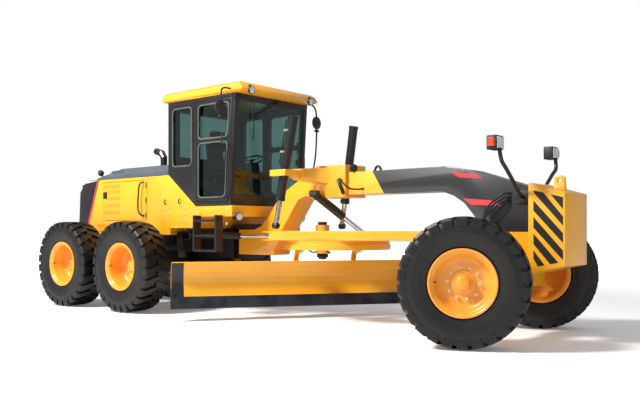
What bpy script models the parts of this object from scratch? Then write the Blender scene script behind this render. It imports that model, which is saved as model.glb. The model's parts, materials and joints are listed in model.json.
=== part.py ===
"""A six-wheeled motor grader with an articulated frame, modelled in metres.

Every shape is written in one frame: X runs forward from the tandem pivot, Y to
the machine's left, Z up from the ground.  The empty "grader" moves that frame so
that the whole machine stands centred over the world's origin.  Assemblies that
turn hang on empties placed on their joint's axis.
"""
import bpy
import bmesh
from math import atan2, cos, hypot, pi, radians, sin
from mathutils import Matrix, Vector

for leftover in list(bpy.data.objects):
    bpy.data.objects.remove(leftover, do_unlink=True)

# ---------------------------------------------------------------- driving sizes
CENTRE_X = 2.751            # the machine's middle, forward of the tandem pivot
SEAM = 0.0003               # between two pieces that touch
PLAY = 0.0005               # between a pin and what turns on it
CLEAR = 0.006               # between pieces that move past each other

TYRE_RADIUS = 0.675         # 17.5-25 tyre
TYRE_WIDTH = 0.445
RIM_RADIUS = 0.3175         # 25 inch bead seat
RIM_WIDTH = 0.356
FLANGE_RADIUS = 0.352
WHEEL_SIDES = 24
TRACK = 2.13                # between tyre centres, front and rear
TANDEM_REACH = 0.77         # tandem pivot to each rear wheel
WHEELBASE = 6.30            # tandem pivot to the front axle
REST_STEER = radians(23.35)
KINGPIN_Y = 0.93

PIVOT_X = 2.25              # articulation pivot
BEAM_HALF = 0.17            # half the width of the front frame's box section
HOOD_HALF = 0.58
CAB_HALF = 0.75
CAB_FLOOR_Z = 1.5553
CAB_TOP_Z = 3.09
WALL = 0.05                 # cab wall and door thickness
GLASS = 0.006

BALL = Vector((5.90, 0.0, 1.14))            # drawbar swivel
CIRCLE_X = 3.85
CIRCLE_RADIUS = 0.72
REST_BLADE = radians(-35.2)                 # right end towards the rear
BLADE_LENGTH = 3.66
BLADE_BACK = 0.45                           # blade behind the circle's centre
BLADE_SHIFT = -0.32                         # parked side shift, to the right
BLADE_FOOT_Z = 0.17
BLADE_TOP_Z = 0.79

LIFT_TOP = Vector((3.51, 0.67, 1.95))       # trunnion of the left lift cylinder
LIFT_EYE = Vector((3.385, 0.70, 1.27))     # its rod's eye
FOLD_REAR = Vector((1.50, 0.52, 1.13))      # left articulation cylinder, rear pin
FOLD_EYE = Vector((2.95, 0.30, 1.13))       # and its rod's eye
SHIFT_TOP = Vector((3.86, -0.48, 1.68))     # centre-shift cylinder, saddle pin
SHIFT_EYE = Vector((4.14, 0.22, 1.16))     # and its rod's eye

LEFT, RIGHT = 1, -1
SIDES = ((LEFT, "left"), (RIGHT, "right"))


# ---------------------------------------------------------------- finishes
def finish(name, colour, roughness, metallic=0.0):
    """A Principled material from an sRGB colour."""
    made = bpy.data.materials.new(name)
    made.use_nodes = True
    shader = made.node_tree.nodes["Principled BSDF"]
    linear = [(part / 255.0) ** 2.2 for part in bytes.fromhex(colour)]
    shader.inputs["Base Color"].default_value = (*linear, 1.0)
    shader.inputs["Roughness"].default_value = roughness
    shader.inputs["Metallic"].default_value = metallic
    return made


YELLOW = finish("yellow_enamel", "F6B62C", 0.35)
CHARCOAL = finish("charcoal_enamel", "3E3F41", 0.4)
BLACK = finish("black_enamel", "1E1E20", 0.4)
SLATE = finish("slate_enamel", "6E7688", 0.4)
RIM_PAINT = finish("rim_enamel", "F5A53C", 0.4)
RUBBER = finish("tyre_rubber", "1B1C1E", 0.85)
STEEL = finish("bare_steel", "2E333A", 0.45, 0.8)
CHROME = finish("chromed_rod", "D8DADC", 0.12, 1.0)
GLAZING = finish("tinted_glass", "2C4A48", 0.05)
SEATING = finish("seat_vinyl", "26272A", 0.7)
LAMP = finish("lamp_housing", "202124", 0.35)


# ---------------------------------------------------------------- shape makers
def closed(build):
    """A mesh from a bmesh, its faces turned outwards."""
    bmesh.ops.remove_doubles(build, verts=build.verts, dist=1e-6)
    bmesh.ops.recalc_face_normals(build, faces=build.faces)
    mesh = bpy.data.meshes.new("shape")
    build.to_mesh(mesh)
    build.free()
    return mesh


def prism(outline, low, high, axis="Y"):
    """An outline given in the other two axes, drawn out along one axis."""
    order = {"X": lambda a, b, run: (run, a, b),
             "Y": lambda a, b, run: (a, run, b),
             "Z": lambda a, b, run: (a, b, run)}[axis]
    build = bmesh.new()
    base = [build.verts.new(order(a, b, low)) for a, b in outline]
    face = build.faces.new(base)
    drawn = bmesh.ops.extrude_face_region(build, geom=[face])
    moved = [item for item in drawn["geom"] if isinstance(item, bmesh.types.BMVert)]
    bmesh.ops.translate(build, verts=moved, vec=Vector(order(0, 0, high - low)))
    return closed(build)


def block(x, y, z):
    """A box from three pairs of limits."""
    return prism(((x[0], z[0]), (x[1], z[0]), (x[1], z[1]), (x[0], z[1])), min(y), max(y))


def hull(points):
    """The convex solid round some points."""
    build = bmesh.new()
    for point in points:
        build.verts.new(point)
    result = bmesh.ops.convex_hull(build, input=build.verts)
    spare = [item for item in result["geom_interior"] if isinstance(item, bmesh.types.BMVert)]
    bmesh.ops.delete(build, geom=spare, context="VERTS")
    return closed(build)


def both_sides(points):
    """Each point and its mirror image across the machine's middle."""
    return [(x, side * y, z) for x, y, z in points for side in (LEFT, RIGHT)]


def turned(profile, sides, axis="Y", centre=(0, 0, 0), flip=1):
    """A solid of revolution from (along, radius) points, ending on the axis or closed."""
    build = bmesh.new()
    rings = []
    for along, radius in profile:
        ring = []
        for step in range(sides):
            angle = 2 * pi * (step + 0.5) / sides
            a, b = radius * cos(angle), radius * sin(angle)
            spot = {"X": (along * flip, a, b), "Y": (a, along * flip, b),
                    "Z": (a, b, along * flip)}[axis]
            ring.append(build.verts.new(Vector(spot) + Vector(centre)))
            if radius == 0:
                ring = ring * sides
                break
        rings.append(ring)
    pairs = list(zip(rings, rings[1:]))
    if profile[0][1] > 0:
        pairs.append((rings[-1], rings[0]))
    for first, second in pairs:
        for step in range(sides):
            after = (step + 1) % sides
            loop = [first[step], first[after], second[after], second[step]]
            unique = list(dict.fromkeys(loop))
            if len(unique) > 2:
                build.faces.new(unique)
    return closed(build)


def rod(start, end, radius, sides=12):
    """A round bar between two points."""
    start, end = Vector(start), Vector(end)
    build = bmesh.new()
    turn = (end - start).to_track_quat("Z", "Y").to_matrix().to_4x4()
    place = Matrix.Translation((start + end) / 2) @ turn
    bmesh.ops.create_cone(build, cap_ends=True, segments=sides, radius1=radius,
                          radius2=radius, depth=(end - start).length, matrix=place)
    return closed(build)


def ball(centre, radius, sides=12):
    """A round knob, turned about the vertical."""
    profile = [(-radius * cos(pi * k / 6), radius * sin(pi * k / 6)) for k in range(1, 6)]
    return turned([(-radius, 0)] + profile + [(radius, 0)], sides, "Z", centre=centre)


def tube(points, radius, sides=8):
    """A bent round bar through some points, with mitred corners."""
    path = [Vector(point) for point in points]
    build = bmesh.new()
    rings = []
    for index, point in enumerate(path):
        before = (point - path[index - 1]).normalized() if index else None
        after = (path[index + 1] - point).normalized() if index + 1 < len(path) else None
        along = (before + after).normalized() if before and after else (before or after)
        stretch = 1 / along.dot(after or before)
        guide = Vector((0, 1, 0)) if abs(along.y) < 0.9 else Vector((1, 0, 0))
        across = along.cross(guide).normalized()
        other = along.cross(across)
        spread = radius * min(stretch, 1.5)
        rings.append([build.verts.new(point + spread * (across * cos(2 * pi * k / sides)
                                                        + other * sin(2 * pi * k / sides)))
                      for k in range(sides)])
    for first, second in zip(rings, rings[1:]):
        for k in range(sides):
            build.faces.new((first[k], first[(k + 1) % sides], second[(k + 1) % sides], second[k]))
    build.faces.new(rings[0])
    build.faces.new(rings[-1])
    return closed(build)


def solid(name, paint, shapes, cuts=(), parent=None, at=(0, 0, 0)):
    """Joins shapes into one closed body, cuts it, and hangs it on its parent."""
    helpers = []

    def helper(mesh):
        made = bpy.data.objects.new("helper", mesh)
        bpy.context.collection.objects.link(made)
        helpers.append(made)
        return made

    body = helper(shapes[0])
    for mesh, kind in [(m, "UNION") for m in shapes[1:]] + [(m, "DIFFERENCE") for m in cuts]:
        join = body.modifiers.new(kind.lower(), "BOOLEAN")
        join.operation = kind
        join.solver = "EXACT"
        join.object = helper(mesh)
    shaped = body.evaluated_get(bpy.context.evaluated_depsgraph_get())
    mesh = bpy.data.meshes.new_from_object(shaped)
    for made in helpers:
        bpy.data.objects.remove(made, do_unlink=True)
    mesh.name = name
    mesh.transform(Matrix.Translation(-Vector(at)))
    mesh.materials.clear()
    mesh.materials.append(paint)
    mesh.shade_smooth()
    mesh.set_sharp_from_angle(angle=radians(35))
    made = bpy.data.objects.new(name, mesh)
    bpy.context.collection.objects.link(made)
    made.parent = parent or MACHINE
    made.location = at
    return made


def pivot(name, at, parent=None, turn=0.0):
    """An empty on a joint's axis; what hangs on it is written from that point."""
    made = bpy.data.objects.new(name, None)
    bpy.context.collection.objects.link(made)
    made.parent = parent
    made.location = at
    made.rotation_euler = (0, 0, turn)
    return made


def pair(half):
    """Limits on both sides of the middle."""
    return (-half, half)


def outward(side, near, far):
    """Y limits of a piece on one side of the machine."""
    return tuple(sorted((side * near, side * far)))


MACHINE = pivot("grader", (-CENTRE_X, 0, 0))

# ---------------------------------------------------------------- wheels
TYRE_CENTRE_Y = TRACK / 2
TYRE_HALF = TYRE_WIDTH / 2
TREAD = TYRE_RADIUS / cos(pi / WHEEL_SIDES)     # corner radius that leaves the flats on the ground
BEAD = RIM_WIDTH / 2 - SEAM
TYRE_HALF_PROFILE = ((BEAD, RIM_RADIUS + SEAM), (BEAD, FLANGE_RADIUS + 0.004), (0.214, 0.43),
                     (TYRE_HALF, 0.53), (0.205, TREAD - 0.045), (0.165, TREAD))
TYRE_PROFILE = (TYRE_HALF_PROFILE
                + tuple((-along, radius) for along, radius in reversed(TYRE_HALF_PROFILE)))


def rim_profile(disc, hub):
    """A rim whose disc's inner face is at disc and whose hub cap ends at hub."""
    thick = 0.03
    seat, flange = RIM_WIDTH / 2, RIM_WIDTH / 2 + 0.022
    return ((disc, 0), (disc, 0.292), (-flange, 0.309), (-flange, FLANGE_RADIUS),
            (-seat, FLANGE_RADIUS), (-seat, RIM_RADIUS), (seat, RIM_RADIUS),
            (seat, FLANGE_RADIUS), (flange, FLANGE_RADIUS), (flange, 0.309),
            (disc + thick, 0.292), (disc + thick, 0.11), (hub, 0.085), (hub, 0))


REAR_DISC, REAR_HUB = -0.10, 0.0
FRONT_DISC, FRONT_HUB = 0.05, 0.17


def wheel(name, at, side, disc, hub, parent=None):
    """A rim and its tyre on a hub at the given point."""
    spin = pivot("spin_" + name, at, parent or MACHINE)
    solid("rim_" + name, RIM_PAINT, [turned(rim_profile(disc, hub), WHEEL_SIDES, flip=side)],
          parent=spin)
    solid("tyre_" + name, RUBBER, [turned(TYRE_PROFILE, WHEEL_SIDES)], parent=spin)


for side, label in SIDES:
    for end, place in ((1, "middle"), (-1, "rear")):
        wheel(place + "_" + label, (end * TANDEM_REACH, side * TYRE_CENTRE_Y, TYRE_RADIUS),
              side, REAR_DISC, REAR_HUB)

# ---------------------------------------------------------------- rear chassis
FRAME_Z = (0.90, 1.14)
CASE_Y = (0.62, 0.80)                           # tandem case, inner and outer faces
CASE_HALF_HEIGHT = 0.19
AXLE_TOP = TYRE_RADIUS + 0.20
FOLD_Z = FOLD_REAR.z
EYE_HALF = 0.045                                # half height of a cylinder's eye
TONGUE_Z = (0.86, 1.22)
EAR_HALF = 0.14
EAR_FRONT = PIVOT_X + 0.13
STEP_X = (1.94, 2.42)
STEP_Y = (0.7403, 0.87)
STEP_LEVELS = (1.33, 1.12, 0.91)


def capsule(x, z, radius, y, sides=6):
    """A case with round ends between two X positions."""
    outline = [(x[end] + radius * cos(start + pi * k / sides),
                z + radius * sin(start + pi * k / sides))
               for end, start in ((1, -pi / 2), (0, pi / 2)) for k in range(sides + 1)]
    return prism(outline, *y)


def tandem_axle():
    """The rear axle tube with both chain cases and their wheel stubs."""
    shapes = [rod((0, -CASE_Y[0] - 0.05, TYRE_RADIUS), (0, CASE_Y[0] + 0.05, TYRE_RADIUS), 0.16),
              block(pair(0.17), pair(0.34), (TYRE_RADIUS, AXLE_TOP))]
    stub_end = TYRE_CENTRE_Y + REAR_DISC - PLAY
    for side in (LEFT, RIGHT):
        shapes.append(capsule(pair(TANDEM_REACH), TYRE_RADIUS, CASE_HALF_HEIGHT,
                              outward(side, *CASE_Y)))
        for x in pair(TANDEM_REACH):
            shapes.append(rod((x, side * (CASE_Y[1] - 0.05), TYRE_RADIUS),
                              (x, side * stub_end, TYRE_RADIUS), 0.11))
    solid("tandem_axle", BLACK, shapes)


def eye_forks(x, y, z):
    """Two flat plates above and below a cylinder's eye."""
    reach = EYE_HALF + PLAY
    return [block(x, y, (z + reach, z + reach + 0.02)), block(x, y, (z - reach - 0.02, z - reach))]


def boarding_steps(side):
    """A ladder of three treads on two side plates under the cab door."""
    rails = [block((x, x + 0.03), outward(side, *STEP_Y), (STEP_LEVELS[-1], 1.42))
             for x in (STEP_X[0], STEP_X[1] - 0.03)]
    treads = [block((STEP_X[0] + 0.01, STEP_X[1] - 0.01), outward(side, *STEP_Y), (z, z + 0.03))
              for z in STEP_LEVELS]
    hanger = block((STEP_X[0], STEP_X[0] + 0.03), outward(side, 0.15, STEP_Y[0] + 0.02),
                   (FOLD_Z + 0.06, 1.2398))
    return rails + treads + [hanger]


def rear_frame():
    """The rear main frame with its bumper, cylinder brackets, hinge ears and ladders."""
    bottom, top = FRAME_Z
    shapes = [block((-1.32, 1.32), pair(0.40), (bottom, top)),
              block((-1.62, -1.30), pair(0.60), (0.74, 1.16)),
              block((1.25, PIVOT_X - 0.19), pair(0.19), (0.80, 1.24)),
              block((1.28, 1.40), pair(0.60), (0.98, 1.195)),
              block((-0.2, 0.2), pair(0.34), (AXLE_TOP + SEAM, bottom + 0.02)),
              block((PIVOT_X - 0.25, EAR_FRONT), pair(EAR_HALF), (TONGUE_Z[1] + CLEAR, 1.30)),
              block((PIVOT_X - 0.25, EAR_FRONT), pair(EAR_HALF), (0.79, TONGUE_Z[0] - CLEAR)),
              rod((PIVOT_X, 0, TONGUE_Z[1] + PLAY), (PIVOT_X, 0, 1.28), 0.09, 16),
              rod((PIVOT_X, 0, 0.80), (PIVOT_X, 0, TONGUE_Z[0] - PLAY), 0.09, 16)]
    for side in (LEFT, RIGHT):
        shapes += eye_forks((1.38, FOLD_REAR.x + 0.05),
                            outward(side, FOLD_REAR.y - 0.06, FOLD_REAR.y + 0.06), FOLD_Z)
        shapes += boarding_steps(side)
    solid("rear_frame", BLACK, shapes)


tandem_axle()
rear_frame()

# ---------------------------------------------------------------- engine and hood
HOOD_FRONT_X = 1.1
HOOD_BOTTOM_Z = 1.1403
HOOD_TOP_Z = 2.05
HOOD_REAR = ((-1.10, HOOD_BOTTOM_Z), (-0.75, HOOD_TOP_Z))
BAY_X = (-0.60, 0.48)
BAY_Z = (1.40, 1.96)
HATCH_THICK = 0.03
HATCH_LAP = 0.03                                # how far a side hatch covers its frame
ENGINE_HALF = 0.36


def lap(limits, by):
    """Limits widened at both ends."""
    return (limits[0] - by, limits[1] + by)


def engine_bay():
    """The hood's frame, open at both sides, the engine in it and the two side hatches."""
    outline = [HOOD_REAR[0], (HOOD_FRONT_X, HOOD_BOTTOM_Z), (HOOD_FRONT_X, HOOD_TOP_Z), HOOD_REAR[1]]
    inner, outer = HOOD_HALF - HATCH_THICK - CLEAR, HOOD_HALF
    cuts = [block(BAY_X, pair(HOOD_HALF + 0.1), BAY_Z),
            block(lap(BAY_X, -0.08), pair(0.42), (HOOD_BOTTOM_Z - 0.1, BAY_Z[0] + 0.1))]
    recess = (lap(BAY_X, HATCH_LAP + CLEAR), lap(BAY_Z, HATCH_LAP + CLEAR))
    cuts += [block(recess[0], outward(side, inner, HOOD_HALF + 0.1), recess[1])
             for side in (LEFT, RIGHT)]
    solid("hood_frame", YELLOW, [prism(outline, *pair(HOOD_HALF))], cuts)
    solid("engine_block", CHARCOAL,
          [block(lap(BAY_X, -0.14), pair(ENGINE_HALF), (FRAME_Z[1] + SEAM, BAY_Z[1] - 0.08))])
    for side, label in SIDES:
        hinge = (BAY_X[1] + HATCH_LAP, side * outer, 0)
        leaf = block((BAY_X[0] - HATCH_LAP, BAY_X[1] + HATCH_LAP),
                     outward(side, inner + PLAY, outer), lap(BAY_Z, HATCH_LAP))
        solid("engine_hatch_" + label, YELLOW, [leaf], at=hinge)


HOOD_RIDGE_Z = 2.22
HOOD_SHOULDER_Z = 2.11


def hood_top():
    """The slate lid over the hood, sloping down at the rear, with the bent exhaust pipe on it."""
    base = HOOD_TOP_Z + SEAM
    points = both_sides(((-0.80, HOOD_HALF, base), (HOOD_FRONT_X, HOOD_HALF, base),
                         (-0.80, HOOD_HALF, base + 0.02), (HOOD_FRONT_X, HOOD_HALF, HOOD_SHOULDER_Z),
                         (-0.34, HOOD_HALF, HOOD_SHOULDER_Z), (-0.30, 0.44, HOOD_RIDGE_Z),
                         (HOOD_FRONT_X, 0.44, HOOD_RIDGE_Z), (-0.80, 0.46, base + 0.03)))
    pipe = tube(((0.22, 0, HOOD_RIDGE_Z - 0.05), (0.22, 0, 2.40), (0.16, 0, 2.48), (0.02, 0, 2.52)),
                0.055, 10)
    solid("hood_top", SLATE, [hull(points), pipe])


def radiator_housing():
    """The black housing behind the hood's slanted edge."""
    (low_x, low_z), (high_x, high_z) = HOOD_REAR
    gap = SEAM * 1.2
    outline = ((low_x - gap, low_z), (high_x - gap, high_z), (-0.86, 2.03), (-1.16, 2.0),
               (-1.30, 1.86), (-1.34, 1.20), (-1.34, low_z + 0.0301), (-1.29, low_z + 0.0301))
    solid("radiator_housing", BLACK, [prism(outline, *pair(HOOD_HALF))])


engine_bay()
hood_top()
radiator_housing()

# ---------------------------------------------------------------- cab
CAB_REAR_X = 1.255
CAB_NOTCH = ((CAB_REAR_X, 2.03), (1.86, CAB_FLOOR_Z))       # the cut lower rear corner
CAB_FRONT = ((2.58, CAB_FLOOR_Z), (2.68, CAB_TOP_Z))        # the windshield's rake
BASE_TOP_GAP = SEAM


def front_x(z):
    """The cab's outer front face at a height."""
    (low_x, low_z), (high_x, high_z) = CAB_FRONT
    return low_x + (high_x - low_x) * (z - low_z) / (high_z - low_z)


def cab_base():
    """The yellow base that carries the cab, rising behind its cut corner."""
    drop = BASE_TOP_GAP * 1.5
    outline = ((HOOD_FRONT_X + SEAM, 1.2403), (1.92, 1.2403), (1.985, 1.40), (2.60, 1.40),
               (2.60, CAB_FLOOR_Z - SEAM), (CAB_NOTCH[1][0], CAB_NOTCH[1][1] - drop),
               (CAB_NOTCH[0][0] - drop, CAB_NOTCH[0][1] - drop), (HOOD_FRONT_X + SEAM, 2.03))
    feet = [block((1.14, 1.24), pair(0.36), (FRAME_Z[1] + SEAM, 1.26))]
    solid("cab_base", YELLOW, [prism(outline, *pair(0.74))] + feet)


DOOR_X = 1.87                                   # the door's rear edge
DOOR_Z = (1.61, 3.04)
PILLAR = 0.06
DOOR_GAP = CLEAR
WINDOW_Z = (1.70, 3.01)                         # windshield opening
REAR_WINDOW = ((-0.56, 0.56), (2.30, 2.98))
QUARTER_X, QUARTER_Z = (1.36, 1.78), (2.14, 2.98)
DOOR_BAR_Z = 2.47                               # rail between the door's two windows


def sloped(rear, z, inset):
    """An outline from a straight rear edge to a front edge that follows the windshield."""
    return ((rear, z[0]), (front_x(z[0]) - inset, z[0]), (front_x(z[1]) - inset, z[1]), (rear, z[1]))


def cab_shell():
    """The cab's walls and floor, with every door way and window cut through."""
    outer = (CAB_NOTCH[1], CAB_FRONT[0], CAB_FRONT[1], (CAB_REAR_X, CAB_TOP_Z), CAB_NOTCH[0])
    inner = ((CAB_NOTCH[1][0] + 0.02, CAB_FLOOR_Z + 0.04), (front_x(1.6) - WALL, CAB_FLOOR_Z + 0.04),
             (front_x(3.2) - WALL, 3.2), (CAB_REAR_X + WALL, 3.2), (CAB_REAR_X + WALL, 2.055))
    cuts = [prism(inner, *pair(CAB_HALF - WALL)),
            block((front_x(1.6) - 0.15, front_x(3.1) + 0.1), pair(CAB_HALF - PILLAR - 0.01), WINDOW_Z),
            block((CAB_REAR_X - 0.1, CAB_REAR_X + 0.1), *REAR_WINDOW),
            block(QUARTER_X, pair(CAB_HALF + 0.1), QUARTER_Z),
            prism(sloped(DOOR_X, DOOR_Z, PILLAR), *pair(CAB_HALF + 0.1))]
    solid("cab_shell", BLACK, [prism(outer, *pair(CAB_HALF))], cuts)


ROOF_HALF = 0.81


def cab_roof():
    """The roof cap with a slanted brow over the windshield."""
    low = CAB_TOP_Z + SEAM
    points = both_sides(((1.19, ROOF_HALF - 0.05, low), (2.76, ROOF_HALF - 0.05, low),
                         (1.17, ROOF_HALF - 0.02, low + 0.02), (2.86, ROOF_HALF - 0.02, low + 0.03),
                         (1.17, ROOF_HALF - 0.02, 3.19), (2.80, ROOF_HALF - 0.02, 3.20),
                         (1.22, ROOF_HALF - 0.08, 3.235), (2.76, ROOF_HALF - 0.08, 3.235)))
    solid("cab_roof", YELLOW, [hull(points)])


def cab_glass():
    """The fixed panes, each a seam short of its opening."""
    depth = WALL / 2
    low, high = WINDOW_Z[0] + SEAM, WINDOW_Z[1] - SEAM
    outline = ((front_x(low) - depth, low), (front_x(low) - depth + GLASS, low),
               (front_x(high) - depth + GLASS, high), (front_x(high) - depth, high))
    solid("windshield", GLAZING, [prism(outline, *pair(CAB_HALF - PILLAR - 0.01 - SEAM))])
    middle = CAB_REAR_X + depth
    solid("rear_window", GLAZING,
          [block((middle, middle + GLASS), lap(REAR_WINDOW[0], -SEAM), lap(REAR_WINDOW[1], -SEAM))])
    for side, label in SIDES:
        solid("quarter_window_" + label, GLAZING,
              [block(lap(QUARTER_X, -SEAM), outward(side, CAB_HALF - depth, CAB_HALF - depth + GLASS),
                     lap(QUARTER_Z, -SEAM))])


def cab_doors():
    """Each door's frame with two windows, and one pane behind them both."""
    z = lap(DOOR_Z, -DOOR_GAP)
    face = CAB_HALF - 0.002
    back = face - 0.036
    border = 0.055
    for side, label in SIDES:
        hinge = (DOOR_X, side * CAB_HALF, 0)
        leaf = prism(sloped(DOOR_X + DOOR_GAP, z, PILLAR + DOOR_GAP), *outward(side, back, face))
        upper = sloped(DOOR_X + border, (DOOR_BAR_Z + 0.03, z[1] - border), PILLAR + border)
        lower = sloped(DOOR_X + border, (z[0] + border, DOOR_BAR_Z - 0.03), PILLAR + border)
        cuts = [prism(outline, *outward(side, back - 0.1, face + 0.1)) for outline in (upper, lower)]
        pane = prism(sloped(DOOR_X + border - 0.02, lap(z, -border + 0.02), PILLAR + border - 0.02),
                     *outward(side, back - SEAM - GLASS, back - SEAM))
        arm = [block((DOOR_X + 1.5 * PLAY, DOOR_X + 0.03), outward(side, face - 0.02, CAB_HALF + 0.004),
                     (height, height + 0.08)) for height in (1.80, 2.75)]
        solid("door_" + label, BLACK, [leaf] + arm, cuts, at=hinge)
        solid("door_glass_" + label, GLAZING, [pane], at=hinge)


def operator_station():
    """The seat on its pedestal and the steering console, joined by the floor mat."""
    floor = CAB_FLOOR_Z + 0.04 + SEAM
    shapes = [block((1.92, 2.44), pair(0.28), (floor, floor + 0.02)),
              block((1.92, 2.05), pair(0.18), (floor, 2.0)),
              block((1.62, 2.06), pair(0.25), (1.97, 2.10)),
              hull(both_sides(((1.60, 0.24, 2.08), (1.74, 0.24, 2.08), (1.48, 0.20, 2.72),
                               (1.58, 0.20, 2.72)))),
              hull(both_sides(((2.28, 0.10, floor), (2.40, 0.12, floor), (2.22, 0.07, 2.22),
                               (2.30, 0.08, 2.22)))),
              turned(((2.20, 0), (2.20, 0.19), (2.235, 0.19), (2.235, 0)), 16, "Z",
                     centre=(2.24, 0, 0))]
    solid("operator_station", SEATING, shapes)


def mirrors():
    """A round and a flat mirror on a tubular arm at each front roof corner."""
    root = ROOF_HALF - 0.02 + SEAM
    for side, label in SIDES:
        path = [(2.62, side * root, 3.14), (2.62, side * 0.93, 3.14),
                (2.66, side * 0.99, 3.04), (2.66, side * 0.99, 2.52)]
        shapes = [tube(path, 0.013),
                  rod((2.63, side * 1.0, 2.86), (2.685, side * 1.0, 2.86), 0.10, 16),
                  block((2.635, 2.68), outward(side, 0.93, 1.06), (2.50, 2.68))]
        solid("mirror_" + label, BLACK, shapes)


cab_base()
cab_shell()
cab_roof()
cab_glass()
cab_doors()
operator_station()
mirrors()

# ---------------------------------------------------------------- front frame
NECK_TOP_Z = 1.96
NECK_UNDER_Z = 1.67
BOX_REAR_X = 6.70
AXLE_SEAT_Z = 0.80
SWIVEL_HALF = 0.10                              # trunnion of the drawbar swivel, along Y
BRACKET_Z = (0.07, 0.10)                        # swivel bracket plates, above and below the ball


def front_frame():
    """The box-section neck from the articulation tongue over the drawbar to the axle seat."""
    low, high = TONGUE_Z
    outline = ((PIVOT_X - 0.10, low), (2.84, low), (2.88, 0.96), (3.05, 1.28), (3.30, 1.62),
               (3.42, NECK_UNDER_Z), (5.55, NECK_UNDER_Z), (5.72, 1.61), (5.86, 1.52), (6.02, 1.33),
               (6.14, 1.25), (6.14, AXLE_SEAT_Z), (BOX_REAR_X - SEAM, AXLE_SEAT_Z),
               (BOX_REAR_X - SEAM, 1.66), (5.92, 1.905), (5.60, NECK_TOP_Z), (3.62, NECK_TOP_Z),
               (3.30, 1.88), (2.98, 1.70), (2.72, 1.38), (2.60, 1.27), (2.46, high),
               (PIVOT_X - 0.10, high))
    shapes = [prism(outline, *pair(BEAM_HALF))]
    for sign in (LEFT, RIGHT):
        near, far = BALL.z + sign * BRACKET_Z[0], BALL.z + sign * BRACKET_Z[1]
        shapes.append(block((BALL.x - 0.07, 6.20), pair(0.07), sorted((near, far))))
        shapes += eye_forks((FOLD_EYE.x - 0.16, FOLD_EYE.x + 0.036),
                            outward(sign, BEAM_HALF - 0.02, FOLD_EYE.y + 0.036), FOLD_Z)
    solid("front_frame", YELLOW, shapes)


BOX_HALF = 0.30
BOX_FRONT_X = 7.11


def front_counterweight():
    """The plain weight box on the nose, with its lifting lug."""
    outline = ((BOX_REAR_X, 0.74), (BOX_FRONT_X, 0.83), (BOX_FRONT_X, 1.60), (BOX_REAR_X, 1.72))
    lug = [(6.86, 1.62), (7.0, 1.60), (6.985, 1.78), (6.95, 1.80), (6.90, 1.80), (6.87, 1.78)]
    hole = rod((6.928, -0.1, 1.745), (6.928, 0.1, 1.745), 0.022)
    solid("front_counterweight", YELLOW, [prism(outline, *pair(BOX_HALF)), prism(lug, *pair(0.02))],
          [hole])


JAW = 0.04
KNUCKLE_HALF = 0.085
AXLE_X = (WHEELBASE - 0.10, WHEELBASE + 0.10)


def front_axle():
    """The front axle beam with a jaw round each kingpin."""
    low, high = TYRE_RADIUS - KNUCKLE_HALF - JAW, TYRE_RADIUS + KNUCKLE_HALF + JAW
    seat = AXLE_SEAT_Z - SEAM
    shapes = [block(AXLE_X, pair(KINGPIN_Y - 0.10), (low, high)),
              block(lap(AXLE_X, 0.06), pair(0.16), (low + 0.02, seat))]
    for side in (LEFT, RIGHT):
        for z in ((low, low + JAW), (high - JAW, high)):
            shapes.append(block(lap(AXLE_X, -0.03), outward(side, KINGPIN_Y - 0.12, KINGPIN_Y + 0.055), z))
    solid("front_axle", YELLOW, shapes)


def steered_wheels():
    """Each steering knuckle and its wheel, turned together about the kingpin."""
    for side, label in SIDES:
        kingpin = pivot("kingpin_" + label, (WHEELBASE, side * KINGPIN_Y, TYRE_RADIUS), MACHINE,
                        REST_STEER)
        hub_y = TYRE_CENTRE_Y - KINGPIN_Y
        half = KNUCKLE_HALF - PLAY
        shapes = [rod((0, 0, -half), (0, 0, half), 0.055),
                  rod((0, 0, 0), (0, side * (hub_y + FRONT_DISC - PLAY), 0), 0.05)]
        solid("steering_knuckle_" + label, YELLOW, shapes, parent=kingpin)
        wheel("front_" + label, (0, side * hub_y, 0), side, FRONT_DISC, FRONT_HUB, kingpin)


def headlamps():
    """A lamp with its side indicator on a bent arm bolted to each side of the neck."""
    for side, label in SIDES:
        plate = block((6.50, 6.68), outward(side, BEAM_HALF + SEAM, BEAM_HALF + 0.02), (1.50, 1.64))
        arm = tube([(6.59, side * (BEAM_HALF + 0.01), 1.57), (6.59, side * 0.26, 1.60),
                    (6.59, side * 0.60, 1.86), (6.59, side * 0.70, 1.93), (6.57, side * 0.72, 2.06)],
                   0.022)
        lamp = block((6.46, 6.60), outward(side, 0.62, 0.82), (2.04, 2.20))
        indicator = block((6.49, 6.58), outward(side, 0.80, 0.86), (2.07, 2.15))
        solid("headlamp_" + label, LAMP, [plate, arm, lamp, indicator])


front_frame()
front_counterweight()
front_axle()
steered_wheels()
headlamps()

# ---------------------------------------------------------------- lift gear
SHIFT_EYE_HALF = 0.06
YOKE_PIN_RADIUS = 0.05
BARREL_RADIUS = 0.062
ROD_RADIUS = 0.035
ROD_LENGTH = 1.11
YOKE_PIN_Y = 0.49                               # axis on which each yoke rocks
PIN_REACH = 0.0995                              # trunnion pins, short of the yoke's ring


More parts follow.
